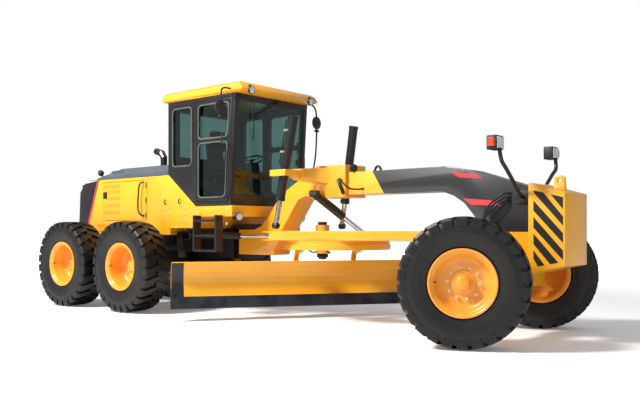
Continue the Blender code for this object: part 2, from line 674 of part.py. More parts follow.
def lift_saddle():
    """The saddle clamped round the neck, with an arm out to each yoke's hinge pin."""
    x = (3.66, 4.16)
    gap = BEAM_HALF + SEAM
    shapes = [block(x, pair(gap + 0.05), (NECK_UNDER_Z - 0.03, NECK_TOP_Z + 0.10))]
    cuts = [block(lap(x, 0.1), pair(gap), (NECK_UNDER_Z - SEAM, NECK_TOP_Z + SEAM))]
    arm_end = YOKE_PIN_Y - YOKE_PIN_RADIUS - PLAY
    for side in (LEFT, RIGHT):
        pad = LIFT_TOP.z
        shapes.append(hull([(3.68, side * 0.20, pad - 0.13), (3.68, side * 0.20, pad + 0.08),
                            (3.90, side * 0.20, pad - 0.13), (3.90, side * 0.20, pad + 0.08),
                            (3.44, side * arm_end, pad - 0.07),
                            (3.44, side * arm_end, pad + 0.07),
                            (3.58, side * arm_end, pad - 0.07),
                            (3.58, side * arm_end, pad + 0.07),
                            (3.60, side * 0.32, pad - 0.10), (3.60, side * 0.32, pad + 0.08)]))
    top = SHIFT_TOP
    lug_x = top.x - SHIFT_EYE_HALF - PLAY
    shapes.append(block((lug_x - 0.03, lug_x), (-gap - 0.02, top.y - 0.03),
                        (top.z - 0.03, top.z + 0.05)))
    solid("lift_saddle", YELLOW, shapes, cuts)


def lift_cylinder(side, label):
    """A yoke that rocks sideways, the barrel that swings in it and the sliding rod."""
    top = Vector((LIFT_TOP.x, side * LIFT_TOP.y, LIFT_TOP.z))
    eye = Vector((LIFT_EYE.x, side * LIFT_EYE.y, LIFT_EYE.z))
    along = (top - eye).normalized()
    ring = 0.135
    pin = Vector((0.07, 0, 0))
    hinge = Vector((top.x, side * YOKE_PIN_Y, top.z))
    shapes = [rod(hinge - pin, hinge + pin, YOKE_PIN_RADIUS, 16),
              block((top.x - ring, top.x + ring), outward(side, YOKE_PIN_Y + 0.02, LIFT_TOP.y + ring),
                    (top.z - 0.04, top.z + 0.04))]
    hole = prism([(top.x + 0.105 * cos(2 * pi * k / 16), top.y + 0.105 * sin(2 * pi * k / 16))
                  for k in range(16)], top.z - 0.1, top.z + 0.1, "Z")
    solid("lift_yoke_" + label, YELLOW, shapes, [hole], at=hinge)

    barrel = [rod(top - along * 0.36, top + along * 0.75, BARREL_RADIUS, 16),
              rod(top - along * 0.03, top + along * 0.03, 0.082, 16),
              rod(top - Vector((0, PIN_REACH, 0)), top + Vector((0, PIN_REACH, 0)), 0.025, 10)]
    bore = rod(top - along * 0.40, top + along * 0.70, ROD_RADIUS + PLAY, 12)
    solid("lift_barrel_" + label, BLACK, barrel, [bore], at=top)

    ram = [rod(eye, eye + along * ROD_LENGTH, ROD_RADIUS, 12),
           ball(eye, 0.04)]
    solid("lift_rod_" + label, CHROME, ram, at=eye)


lift_saddle()
for side, label in SIDES:
    lift_cylinder(side, label)

# ---------------------------------------------------------------- drawbar, circle and blade
DRAWBAR_Z = (1.08, 1.20)
CIRCLE_Z = (0.955, 1.075)
REAR_EDGE_X = 3.60
EAR_X = (3.33, 3.46)
EAR_Y = (0.62, 0.78)
SHIFT_SLOT_X = (3.85, 4.34)                     # where the centre-shift rod reaches the drawbar


def drawbar_swivel():
    """The cross block that lets the drawbar swing and rise at the nose."""
    post = BRACKET_Z[0] - PLAY
    shapes = [rod(BALL - Vector((0, 0, post)), BALL + Vector((0, 0, post)), 0.05, 16),
              rod(BALL - Vector((0, SWIVEL_HALF, 0)), BALL + Vector((0, SWIVEL_HALF, 0)), 0.035, 12)]
    solid("drawbar_swivel", STEEL, shapes, at=BALL)


def drawbar():
    """The A-shaped drawbar with a fork at the swivel, rear ears and the circle's drive."""
    low, high = DRAWBAR_Z
    half = [(EAR_X[0], EAR_Y[0]), (EAR_X[0], EAR_Y[1]), (EAR_X[1] + 0.10, EAR_Y[1]),
            (4.10, 0.60), (5.50, 0.20), (5.78, 0.16)]
    outline = ([(x, y) for x, y in half] + [(x, -y) for x, y in reversed(half)]
               + [(REAR_EDGE_X, -EAR_Y[0]), (REAR_EDGE_X, EAR_Y[0])])
    near = SWIVEL_HALF + PLAY
    shapes = [prism(outline, low, high, "Z")]
    cuts = [prism(((4.62, 0.30), (5.36, 0.09), (5.36, -0.09), (4.62, -0.30)), low - 0.1, high + 0.1,
                  "Z"),
            block((BALL.x - 0.14, BALL.x + 0.2), pair(near), (low - 0.1, high + 0.1)),
            block(SHIFT_SLOT_X, pair(0.42), (low - 0.1, high + 0.1))]
    for side in (LEFT, RIGHT):
        shapes.append(capsule((5.70, BALL.x), BALL.z, 0.06, outward(side, near, near + 0.05), 5))
    shapes.append(turned(((0.90, 0), (0.90, 0.09), (1.28, 0.09), (1.28, 0)), 12, "Z",
                         centre=(CIRCLE_X - 0.12, -0.16, 0)))
    solid("drawbar", YELLOW, shapes, cuts, at=BALL)


def circle_ring():
    """The slewing circle with an arm down each side to the blade's tilt pins."""
    low, high = CIRCLE_Z
    sides = 32
    round_to = [[(radius * cos(2 * pi * k / sides), radius * sin(2 * pi * k / sides))
                 for k in range(sides)] for radius in (CIRCLE_RADIUS, CIRCLE_RADIUS - 0.15)]
    arm = ((-0.28, low + 0.02), (-0.50, low + 0.02), (-0.60, 0.89), (TILT.x - 0.06, 0.55),
           (TILT.x - 0.06, TILT.z - 0.06), (TILT.x + 0.03, TILT.z - 0.06), (TILT.x + 0.03, 0.66),
           (-0.545, 0.88), (-0.28, 0.92))
    shapes = [prism(round_to[0], low, high - SEAM * 3, "Z")]
    shapes += [prism(arm, *outward(side, ARM_Y - 0.03, ARM_Y + 0.03)) for side in (LEFT, RIGHT)]
    hole = prism(round_to[1], low - 0.1, high + 0.1, "Z")
    made = solid("circle", YELLOW, [prism(round_to[0], low, DRAWBAR_Z[0] - SEAM, "Z")] + shapes[1:],
                 [hole], parent=BLADE_TURN)
    return made


TILT = Vector((-0.675, 0.0, 0.38))              # tilt pins, from the circle's centre
ARM_Y = 0.42
RAIL_X = (-0.605, -0.55)
RAIL_LEVELS = (0.30, 0.62)
RAIL_HALF = 1.25
BOARD_THICK = 0.022


def blade_carrier():
    """Two tilt brackets and their cross tube, behind the mouldboard's rails."""
    shapes = [rod((TILT.x, -0.52, TILT.z), (TILT.x, 0.52, TILT.z), 0.038, 12)]
    cuts = [block((TILT.x - 0.09, TILT.x + 0.09), outward(side, ARM_Y - 0.0305, ARM_Y + 0.0305),
                  (TILT.z - 0.2, TILT.z + 0.2)) for side in (LEFT, RIGHT)]
    front = RAIL_X[0] - PLAY
    for side in (LEFT, RIGHT):
        for near in (ARM_Y - 0.08, ARM_Y + 0.0305):
            shapes.append(prism(((TILT.x - 0.05, TILT.z - 0.05), (TILT.x - 0.05, TILT.z + 0.05),
                                 (front - 0.04, RAIL_LEVELS[1] + 0.03),
                                 (front, RAIL_LEVELS[1] + 0.03), (front, RAIL_LEVELS[0] - 0.03),
                                 (front - 0.03, RAIL_LEVELS[0] - 0.03)),
                                *outward(side, near, near + 0.049)))
    shapes.append(block((front - 0.02, front), pair(0.5), (0.44, 0.50)))
    cuts = [block((TILT.x - 0.09, front - 0.025), outward(side, ARM_Y - 0.0305, ARM_Y + 0.0305),
                  (0.2, 0.7)) for side in (LEFT, RIGHT)]
    solid("blade_carrier", BLACK, shapes, cuts, parent=BLADE_TURN, at=TILT)


def board_curve(offset, steps=7):
    """Points down the mouldboard's curved face, moved back by an offset."""
    top, foot = (-0.425, BLADE_TOP_Z), (-0.44, BLADE_FOOT_Z + 0.11)
    bulge = 0.10
    points = []
    for step in range(steps + 1):
        share = step / steps
        sag = 4 * bulge * share * (1 - share)
        points.append((top[0] + (foot[0] - top[0]) * share - sag - offset,
                       top[1] + (foot[1] - top[1]) * share))
    return points


def blade():
    """The curved mouldboard with its two back rails, and the cutting edge with end bits."""
    half = BLADE_LENGTH / 2
    span = (BLADE_SHIFT - half, BLADE_SHIFT + half)
    outline = board_curve(0.0) + list(reversed(board_curve(BOARD_THICK)))
    shapes = [prism(outline, *span)]
    for level in RAIL_LEVELS:
        shapes.append(block(RAIL_X, lap(span, -half + RAIL_HALF), (level - 0.025, level + 0.025)))
        shapes.append(block((RAIL_X[1] - 0.01, RAIL_X[1] + (0.03 if level > 0.5 else 0.085)),
                            lap(span, -half + RAIL_HALF - 0.1), (level - 0.012, level + 0.012)))
    solid("mouldboard", YELLOW, shapes, parent=BLADE_TURN)
    top = BLADE_FOOT_Z + 0.16
    edge = ((-0.43, top), (-0.43 + 0.004, BLADE_FOOT_Z + 0.10), (-0.405, BLADE_FOOT_Z),
            (-0.385, BLADE_FOOT_Z), (-0.40, top))
    shapes = [prism(edge, *span)]
    for end in span:
        inner = end - 0.10 if end > BLADE_SHIFT else end + 0.10
        outer = end + 0.014 if end > BLADE_SHIFT else end - 0.014
        near = end + SEAM if end > BLADE_SHIFT else end - SEAM
        shapes.append(block((-0.46, -0.385), sorted((near, outer)), (BLADE_FOOT_Z, top + 0.10)))
        shapes.append(block((-0.41, -0.385), sorted((inner, outer)), (BLADE_FOOT_Z, top)))
    solid("cutting_edge", STEEL, shapes, parent=BLADE_TURN)


BLADE_TURN = pivot("circle_turn", (CIRCLE_X, 0, 0), MACHINE, REST_BLADE)
drawbar_swivel()
drawbar()
circle_ring()
blade_carrier()
blade()


# ---------------------------------------------------------------- small cylinders
def small_cylinder(name, base, eye, share, inside, radius, half):
    """A barrel over a share of the length, and a rod that starts inside it; half is half of each pin."""
    base, eye = Vector(base), Vector(eye)
    along = (eye - base).normalized()
    length = (eye - base).length
    split = length * share
    barrel = [rod(base - half, base + half, 0.042, 12),
              rod(base + along * 0.02, base + along * split, radius, 12)]
    bore = rod(base + along * 0.08, base + along * (split + 0.1), radius * 0.55 + PLAY, 10)
    solid(name + "_barrel", BLACK, barrel, [bore], at=base)
    ram = [rod(base + along * inside, eye, radius * 0.55, 10),
           rod(eye - half, eye + half, 0.038, 12)]
    solid(name + "_rod", CHROME, ram, at=eye)


for side, label in SIDES:
    small_cylinder("articulation_" + label, (FOLD_REAR.x, side * FOLD_REAR.y, FOLD_Z),
                   (FOLD_EYE.x, side * FOLD_EYE.y, FOLD_Z), 0.62, 0.56, 0.045,
                   Vector((0, 0, EYE_HALF)))
small_cylinder("centre_shift", SHIFT_TOP, SHIFT_EYE, 0.565, 0.30, 0.055,
               Vector((SHIFT_EYE_HALF, 0, 0)))
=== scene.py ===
# %% [markdown]
# # A motor grader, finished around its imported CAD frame
# The machine is a three-axle motor grader: a rear chassis with an engine hood and a cab,
# a goose-necked front frame, and a blade hung under it from a drawbar and a slewing circle.
# The CAD frame gives every body, joint and outline. This script adds what the eye reads as
# real: rolled sheet edges, lugged tyres, dished rims, seals, lamps, hoses and enamel.

# %% Load the frame
import json
from math import cos, pi, radians, sin

import bmesh
import bpy
from mathutils import Matrix, Vector


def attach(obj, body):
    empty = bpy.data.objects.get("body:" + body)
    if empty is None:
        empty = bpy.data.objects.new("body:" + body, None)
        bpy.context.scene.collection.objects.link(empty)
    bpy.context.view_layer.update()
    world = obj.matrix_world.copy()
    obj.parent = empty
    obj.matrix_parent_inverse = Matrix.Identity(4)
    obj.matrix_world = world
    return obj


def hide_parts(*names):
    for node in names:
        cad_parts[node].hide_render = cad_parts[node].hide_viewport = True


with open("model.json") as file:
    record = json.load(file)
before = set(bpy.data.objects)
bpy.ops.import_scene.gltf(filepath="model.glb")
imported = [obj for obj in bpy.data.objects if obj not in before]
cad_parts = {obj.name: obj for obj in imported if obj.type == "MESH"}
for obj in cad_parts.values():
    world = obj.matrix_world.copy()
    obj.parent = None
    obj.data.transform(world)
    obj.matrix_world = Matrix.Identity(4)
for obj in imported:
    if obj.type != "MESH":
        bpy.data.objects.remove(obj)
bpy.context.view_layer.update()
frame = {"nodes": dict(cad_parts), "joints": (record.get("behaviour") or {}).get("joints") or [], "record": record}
scene = bpy.context.scene

# %% [markdown]
# ## Camera, floor and light
# The viewing height is a standing adult's chin, level, looking at the front right corner.
# A lens that stays level and is shifted keeps the cab's pillars upright, as a view camera
# does. One broad lamp high on the right gives crisp but soft-edged shadows, and a pale
# room fills them.

# %% Camera
eye = bpy.data.objects.new("camera", bpy.data.cameras.new("camera"))
scene.collection.objects.link(eye)
eye.location = (7.488, -8.022, 1.198)
eye.rotation_euler = (radians(90), 0, radians(39.81))
eye.data.sensor_width = 36
eye.data.lens = 43.12
eye.data.shift_y = 0.033
scene.camera = eye
scene.view_settings.view_transform = "Standard"

# %% Floor, room and lamps
FLOOR_HALF = 60


def lamp(name, place, target, size, power, colour=(1, 1, 1)):
    """A square soft lamp at a place, turned to a target."""
    made = bpy.data.objects.new(name, bpy.data.lights.new(name, "AREA"))
    scene.collection.objects.link(made)
    made.location = place
    made.rotation_euler = (Vector(target) - Vector(place)).to_track_quat("-Z", "Y").to_euler()
    made.data.size, made.data.energy, made.data.color = size, power, colour
    return made


lamp("key_lamp", (-3.4, -10.5, 11.5), (0.6, 0, 0.9), 2.6, 3500, (1.0, 0.96, 0.90))
lamp("side_lamp", (10.0, 4.0, 7.0), (0, 0, 1), 6.0, 40, (0.93, 0.96, 1.0))
room = bpy.data.worlds.new("pale_room")
room.use_nodes = True
fill = room.node_tree.nodes["Background"]
fill.inputs["Color"].default_value = (0.95, 0.96, 1.0, 1)
fill.inputs["Strength"].default_value = 0.42
# The backdrop is lit on its own, so that it stays white while the machine keeps its shade.
backdrop = room.node_tree.nodes.new("ShaderNodeBackground")
backdrop.inputs["Color"].default_value = (1, 1, 1, 1)
seen = room.node_tree.nodes.new("ShaderNodeLightPath")
choice = room.node_tree.nodes.new("ShaderNodeMixShader")
room.node_tree.links.new(seen.outputs["Is Camera Ray"], choice.inputs[0])
room.node_tree.links.new(fill.outputs[0], choice.inputs[1])
room.node_tree.links.new(backdrop.outputs[0], choice.inputs[2])
room.node_tree.links.new(choice.outputs[0], room.node_tree.nodes["World Output"].inputs[0])
scene.world = room

# %% [markdown]
# ## Finishes
# Every finish starts from what the real one is, such as sprayed two-pack enamel, moulded
# tyre rubber or ground wear steel. Colours are written as sRGB hex and turned to linear in
# one place. A slow noise makes the colour drift a little over a panel and a fine one breaks
# up gloss and height, at a real size in millimetres. What is the same all over is set on
# the shader itself.

# %% Colour and node helpers
MM = 0.001


def linear(colour):
    """An sRGB hex value as linear RGBA."""
    parts = [int(colour[k:k + 2], 16) / 255 for k in (1, 3, 5)]
    return [c / 12.92 if c <= 0.04045 else ((c + 0.055) / 1.055) ** 2.4 for c in parts] + [1]


def add(tree, kind, settings=None, links=None):
    """Adds a node; settings are its properties or input values, links feed its inputs."""
    made = tree.nodes.new(kind)
    for key, value in (settings or {}).items():
        if isinstance(key, str) and hasattr(made, key):
            setattr(made, key, value)
        else:
            made.inputs[key].default_value = value
    for key, source in (links or {}).items():
        tree.links.new(source, made.inputs[key])
    return made


SLOT = {}                       # the record's slot for each finish that has one


def surface(name, slot, light, dark, patch, rough, grain, height, sockets=None):
    """A finish: two near colours over patches, roughness and height over a grain, in mm."""
    made = bpy.data.materials.new(name)
    made.use_nodes = True
    tree = made.node_tree
    shader = tree.nodes["Principled BSDF"]
    place = add(tree, "ShaderNodeTexCoord").outputs["Object"]
    drift = add(tree, "ShaderNodeTexNoise", {"Scale": 1 / (patch * MM), "Detail": 3.0},
                {"Vector": place})
    ramp = add(tree, "ShaderNodeValToRGB", links={"Fac": drift.outputs["Fac"]})
    ramp.color_ramp.elements[0].position, ramp.color_ramp.elements[1].position = 0.36, 0.62
    for element, colour in zip(ramp.color_ramp.elements, (dark, light)):
        element.color = linear(colour)
    tree.links.new(ramp.outputs["Color"], shader.inputs["Base Color"])
    fine = add(tree, "ShaderNodeTexNoise", {"Scale": 1 / (grain * MM), "Detail": 4.0},
               {"Vector": place})
    gloss = add(tree, "ShaderNodeMapRange", {"To Min": rough[0], "To Max": rough[1]},
                {"Value": fine.outputs["Fac"]})
    tree.links.new(gloss.outputs["Result"], shader.inputs["Roughness"])
    bump = add(tree, "ShaderNodeBump", {"Strength": 0.6, "Distance": height * MM},
               {"Height": fine.outputs["Fac"]})
    tree.links.new(bump.outputs["Normal"], shader.inputs["Normal"])
    for key, value in (sockets or {}).items():
        shader.inputs[key].default_value = value
    if slot:
        SLOT[made.name] = slot
    return made


# %% Enamels
# Two-pack enamel sprayed on steel: a clear-looking gloss skin over an even colour, with the
# faint orange peel that a spray gun leaves, drawn 18 mm across so that it shows at all.
ENAMEL = {"Coat Weight": 0.45, "Coat Roughness": 0.12}
YELLOW = surface("sprayed_yellow_enamel", "yellow_paint", "#FBB629", "#F3AA1D", 900,
                 (0.30, 0.42), 18, 0.25, ENAMEL)
WHEEL_YELLOW = surface("sprayed_wheel_enamel", "rim_paint", "#F7A634", "#EE9A2B", 260,
                       (0.34, 0.48), 14, 0.2, ENAMEL)
CHARCOAL = surface("sprayed_charcoal_enamel", "charcoal_paint", "#37383A", "#303133", 700,
                   (0.34, 0.46), 18, 0.2, ENAMEL)
BLACK = surface("powder_coated_black_steel", "black_paint", "#121214", "#0E0E0F", 600,
                (0.36, 0.50), 9, 0.2, {"Coat Weight": 0.25, "Coat Roughness": 0.2})
SLATE = surface("sprayed_slate_enamel", "slate_paint", "#545C69", "#4D5561", 700,
                (0.32, 0.44), 18, 0.25, ENAMEL)

# %% Rubber, steel, chrome and plastics
# Moulded tyre rubber is near black with a dull sheen and a fine pebble from the mould.
RUBBER = surface("moulded_tyre_rubber", "tyre_rubber", "#101011", "#0B0B0C", 160,
                 (0.36, 0.56), 12, 0.8)
HOSE = surface("braided_hose_rubber", None, "#1B1B1D", "#121213", 60, (0.45, 0.6), 8, 0.5)
SEAL = surface("extruded_window_rubber", None, "#5E6765", "#525B59", 120, (0.5, 0.62), 9, 0.3)
# Quenched wear steel keeps a dark mill scale that the ground polishes in streaks.
WEAR_STEEL = surface("mill_scaled_wear_steel", "bare_steel", "#3A4149", "#262A30", 240,
                     (0.30, 0.58), 30, 0.5, {"Metallic": 0.75})
# Hard chrome on a ground rod is almost a mirror, with faint wiping marks.
CHROME = surface("hard_chromed_rod", "chromed_rod", "#DADCDE", "#C9CCCF", 120,
                 (0.08, 0.18), 40, 0.05, {"Metallic": 1.0})
ZINC = surface("zinc_plated_fastener", None, "#E9DCC4", "#CDBFA6", 40, (0.28, 0.45), 10, 0.1,
               {"Metallic": 0.55})
NYLON = surface("glass_filled_nylon", "lamp_housing", "#232426", "#1B1C1D", 90,
                (0.45, 0.6), 6, 0.3)
VINYL = surface("grained_seat_vinyl", "seat_vinyl", "#26282B", "#1C1E20", 120,
                (0.42, 0.58), 10, 0.8)
RED = surface("red_vinyl_stripe", None, "#E0404A", "#D83842", 400, (0.35, 0.45), 12, 0.05)
STRIPE_BLACK = surface("black_vinyl_stripe", None, "#1A1A1B", "#121213", 300,
                       (0.38, 0.5), 12, 0.05)
AMBER = surface("amber_polycarbonate", None, "#DE4A1E", "#C93F18", 60, (0.15, 0.25), 8, 0.3,
                {"Coat Weight": 0.6, "Coat Roughness": 0.05})
TAIL_RED = surface("red_polycarbonate", None, "#B3161B", "#9C1116", 60, (0.15, 0.25), 8, 0.3,
                   {"Coat Weight": 0.6, "Coat Roughness": 0.05})
LENS = surface("fluted_lamp_lens", None, "#F1F3F5", "#C9CED3", 22, (0.06, 0.2), 10, 1.0,
               {"Metallic": 0.35, "Coat Weight": 0.8, "Coat Roughness": 0.03})
MIRROR = surface("silvered_mirror", None, "#C9D2D8", "#BCC6CC", 200, (0.04, 0.08), 30, 0.02,
                 {"Metallic": 1.0})

# %% Tinted glass
# Cab glazing is toughened soda-lime glass with a blue-green body tint. Each pane is a thin
# solid, so light is tinted on the way through and the far panes look paler than the near.
GLASS = surface("tinted_toughened_glass", "tinted_glass", "#A9CDC8", "#A2C6C1", 700,
                (0.0, 0.02), 300, 0.01, {"Transmission Weight": 1.0, "IOR": 1.5})
print(len(bpy.data.materials), "finishes")

# %% [markdown]
# The front frame is one weldment in two colours: yellow behind the saddle and at the axle
# seat, charcoal along the neck. The paint line is drawn by place, so that it crosses the
# steel wherever the sprayer's masking tape did.

# %% Two-colour enamel on the neck
TANDEM_X = -2.751               # the tandem axle's X in the frame; lengths run forward from it
MASK_LEAN = 0.62                # how far the paint line leans back per metre of height
MASK_X, MASK_Z = 4.73 + TANDEM_X, 1.67
SEAT_TOP_Z = 1.19


def masked(base, name, colour, mask):
    """A copy of a finish that takes another colour where a mask of its place is 1."""
    made = base.copy()
    made.name = name
    tree = made.node_tree
    shader = tree.nodes["Principled BSDF"]
    plain = shader.inputs["Base Color"].links[0].from_socket
    place = add(tree, "ShaderNodeTexCoord").outputs["Object"]
    split = add(tree, "ShaderNodeSeparateXYZ", links={"Vector": place}).outputs
    mixed = add(tree, "ShaderNodeMix", {"data_type": "RGBA"}, {0: mask(tree, split), 6: plain})
    mixed.inputs[7].default_value = linear(colour)
    tree.links.new(mixed.outputs[2], shader.inputs["Base Color"])
    SLOT[made.name] = SLOT[base.name]
    return made


def over(tree, value, limit):
    """1 where a value is greater than a limit."""
    return add(tree, "ShaderNodeMath", {"operation": "GREATER_THAN", 1: limit},
               {0: value}).outputs["Value"]


def neck_mask(tree, split):
    """In front of the leaning paint line and above the axle seat."""
    leaning = add(tree, "ShaderNodeMath", {"operation": "MULTIPLY_ADD", 1: MASK_LEAN},
                  {0: split["Z"], 2: split["X"]}).outputs["Value"]
    return add(tree, "ShaderNodeMath", {"operation": "MULTIPLY"},
               {0: over(tree, leaning, MASK_X + MASK_LEAN * MASK_Z),
                1: over(tree, split["Z"], SEAT_TOP_Z)}).outputs["Value"]


# The exhaust stands on the slate hood and is black above the hood's ridge.
RIDGE_Z = 2.235
NECK_PAINT = masked(YELLOW, "two_colour_neck_enamel", "#232426", neck_mask)
HOOD_TOP_PAINT = masked(SLATE, "sprayed_slate_enamel_black_above", "#151517",
                        lambda tree, split: over(tree, split["Z"], RIDGE_Z))

# %% [markdown]
# ## Making shapes
# Fabricated parts are mostly three things: plate cut to an outline, turned parts and bent
# tube. Each helper returns plain points and faces, so that several can join in one piece.

# %% Shape helpers
SIDES = ((1, "left"), (-1, "right"))


def prism(outline, low, high, axis="y"):
    """Plate cut to an outline and given a thickness along an axis."""
    spot = {"x": lambda a, b, c: (c, a, b), "y": lambda a, b, c: (a, c, b),
            "z": lambda a, b, c: (a, b, c)}[axis]
    n = len(outline)
    points = [spot(a, b, c) for c in (low, high) for a, b in outline]
    faces = [tuple(range(n)), tuple(range(n, 2 * n))]
    return points, faces + [(k, (k + 1) % n, (k + 1) % n + n, k + n) for k in range(n)]


def block(x, y, z):
    """A box between two limits along each axis."""
    return prism(((x[0], z[0]), (x[1], z[0]), (x[1], z[1]), (x[0], z[1])), *y)


def revolved(profile, steps=48):
    """A part turned about Y from (along, radius) points, closed on the axis or on itself."""
    points, rings, faces = [], [], []
    for along, radius in profile:
        count = 1 if radius == 0 else steps
        rings.append([len(points) + k for k in range(count)])
        points += [(radius * sin(2 * pi * k / steps), along, radius * cos(2 * pi * k / steps))
                   for k in range(count)]
    pairs = list(zip(rings, rings[1:]))
    if profile[0][1] > 0:
        pairs.append((rings[-1], rings[0]))
    for first, second in pairs:
        for k in range(steps):
            loop = (first[k % len(first)], first[(k + 1) % len(first)],
                    second[(k + 1) % len(second)], second[k % len(second)])
            loop = tuple(dict.fromkeys(loop))
            if len(loop) > 2:
                faces.append(loop)
    return points, faces


def placed(shape, matrix):
    """A shape moved by a matrix."""
    return [tuple(matrix @ Vector(p)) for p in shape[0]], shape[1]


def facing(place, direction):
    """A matrix that takes Y to a direction at a place, with Z as upright as it can be."""
    out = Vector(direction).normalized()
    hint = Vector((0, 0, 1)) if abs(out.z) < 0.95 else Vector((1, 0, 0))
    side = out.cross(hint).normalized()
    up = side.cross(out)
    turn = Matrix((side, out, up)).transposed().to_4x4()
    return Matrix.Translation(place) @ turn


def rod(start, end, radius, steps=20, edge=0.003):
    """A round bar with a small chamfer at both ends."""
    start, end = Vector(start), Vector(end)
    length = (end - start).length
    profile = ((0, 0), (0, radius - edge), (edge, radius), (length - edge, radius),
               (length, radius - edge), (length, 0))
    return turned(profile, steps, start, end - start)


def eased(points, per=6, loop=False):
    """A smooth run of points through the given ones."""
    points = [Vector(p) for p in points]
    n = len(points)
    get = (lambda k: points[k % n]) if loop else (lambda k: points[min(max(k, 0), n - 1)])
    run = []
    for k in range(n if loop else n - 1):
        a, b, c, d = get(k - 1), get(k), get(k + 1), get(k + 2)
        for step in range(per):
            t = step / per
            run.append(0.5 * (2 * b + (c - a) * t + (2 * a - 5 * b + 4 * c - d) * t * t
                              + (3 * b - a - 3 * c + d) * t ** 3))
    return run if loop else run + [points[-1]]


def tube(path, radius, sides=12, loop=False):
    """Tube bent along a path, its ring carried from point to point without twisting."""
    path = [Vector(p) for p in path]
    n = len(path)
    points, faces = [], []
    up = None
    for k, spot in enumerate(path):
        before = path[k - 1] if (k or loop) else spot
        after = path[(k + 1) % n] if (k < n - 1 or loop) else spot
        ahead = (after - before).normalized()
        if up is None:
            up = ahead.orthogonal()
        up = (up - ahead * up.dot(ahead)).normalized()
        across = ahead.cross(up)
        points += [tuple(spot + radius * (cos(2 * pi * s / sides) * up
                                          + sin(2 * pi * s / sides) * across))
                   for s in range(sides)]
    for k in range(n if loop else n - 1):
        a, b = k * sides, ((k + 1) % n) * sides
        faces += [(a + s, a + (s + 1) % sides, b + (s + 1) % sides, b + s) for s in range(sides)]
    if not loop:
        faces += [tuple(range(sides)), tuple(range((n - 1) * sides, n * sides))]
    return points, faces


def rounded_outline(corners, radius, steps=6):
    """A flat outline with each corner turned into an arc."""
    corners = [Vector(c) for c in corners]
    run = []
    for k, corner in enumerate(corners):
        before = (corners[k - 1] - corner).normalized()
        after = (corners[(k + 1) % len(corners)] - corner).normalized()
        for step in range(steps + 1):
            t = step / steps
            run.append(corner + before * radius * (1 - t) ** 2 + after * radius * t ** 2)
    return [tuple(p) for p in run]


def turned(profile, steps, place, direction):
    """A turned part whose axis starts at a place and points in a direction."""
    return placed(revolved(profile, steps), facing(place, direction))


def moved(shape, place):
    """A shape moved to a place."""
    return placed(shape, Matrix.Translation(place))


def bent(points, per, radius, sides):
    """Tube bent smoothly through points."""
    return tube(eased(points, per), radius, sides)


def span(side, near, far):
    """Two distances from the middle plane, as limits on one side."""
    return sorted((side * near, side * far))


# %% Making a piece
def settled(made):
    """Turns a piece's modifiers into plain mesh."""
    graph = bpy.context.evaluated_depsgraph_get()
    mesh = bpy.data.meshes.new_from_object(made.evaluated_get(graph))
    made.modifiers.clear()
    made.data = mesh
    return made


def piece(name, shapes, finish, body, bevel=0, angle=38, shift=TANDEM_X, stands_for=()):
    """Joins shapes into one object with a finish that rides a body."""
    build = bmesh.new()
    for points, faces in shapes:
        corners = [build.verts.new((p[0] + shift, p[1], p[2])) for p in points]
        for face in faces:
            build.faces.new([corners[k] for k in face])
    bmesh.ops.recalc_face_normals(build, faces=build.faces)
    mesh = bpy.data.meshes.new(name)
    build.to_mesh(mesh)
    build.free()
    made = bpy.data.objects.new(name, mesh)
    scene.collection.objects.link(made)
    mesh.materials.append(finish)
    return finished(made, body, bevel, angle, stands_for)


def finished(made, body, bevel, angle, stands_for):
    """Rolls a piece's edges, shades it by angle and hangs it on its body."""
    if bevel:
        roll = made.modifiers.new("rolled_edges", "BEVEL")
        roll.width, roll.segments, roll.limit_method = bevel, 2, "ANGLE"
        roll.angle_limit = radians(angle)
        settled(made)
    made.data.shade_smooth()
    made.data.set_sharp_from_angle(angle=radians(angle))
    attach(made, body)
    if stands_for:
        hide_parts(*stands_for)
    return made


floor = piece("floor", [block((-FLOOR_HALF, FLOOR_HALF), (-FLOOR_HALF, FLOOR_HALF),
                              (-0.02, -0.001))], YELLOW, "chassis", shift=0)
floor.parent = None
floor.data.materials[0] = surface("pale_studio_floor", None, "#F6F6F6", "#F2F2F2", 3000,
                                  (0.75, 0.85), 400, 0.01)
# Only to the camera, the floor glows to pure white away from the machine, like a lit sweep.
SWEEP_FROM, SWEEP_TO = 6.5, 15.0            # metres from the machine's middle
floor_tree = floor.data.materials[0].node_tree
floor_place = add(floor_tree, "ShaderNodeTexCoord").outputs["Object"]
away = add(floor_tree, "ShaderNodeVectorMath", {"operation": "LENGTH"}, {0: floor_place})
glow = add(floor_tree, "ShaderNodeMapRange",
           {"From Min": SWEEP_FROM, "From Max": SWEEP_TO, "To Min": 0.12, "To Max": 1.0},
           {"Value": away.outputs["Value"]})
watched = add(floor_tree, "ShaderNodeLightPath").outputs["Is Camera Ray"]
only_seen = add(floor_tree, "ShaderNodeMath", {"operation": "MULTIPLY"},
                {0: glow.outputs["Result"], 1: watched})
floor_shader = floor_tree.nodes["Principled BSDF"]
floor_shader.inputs["Emission Color"].default_value = (1, 1, 1, 1)
floor_tree.links.new(only_seen.outputs[0], floor_shader.inputs["Emission Strength"])

# %% [markdown]
# Things that repeat, such as tread lugs, nuts, louvres and teeth, are placed by one
# Geometry Nodes tree. It puts copies of a piece on a row of points, each a step further on
# and turned a little more, so that one tree makes both straight rows and rings.

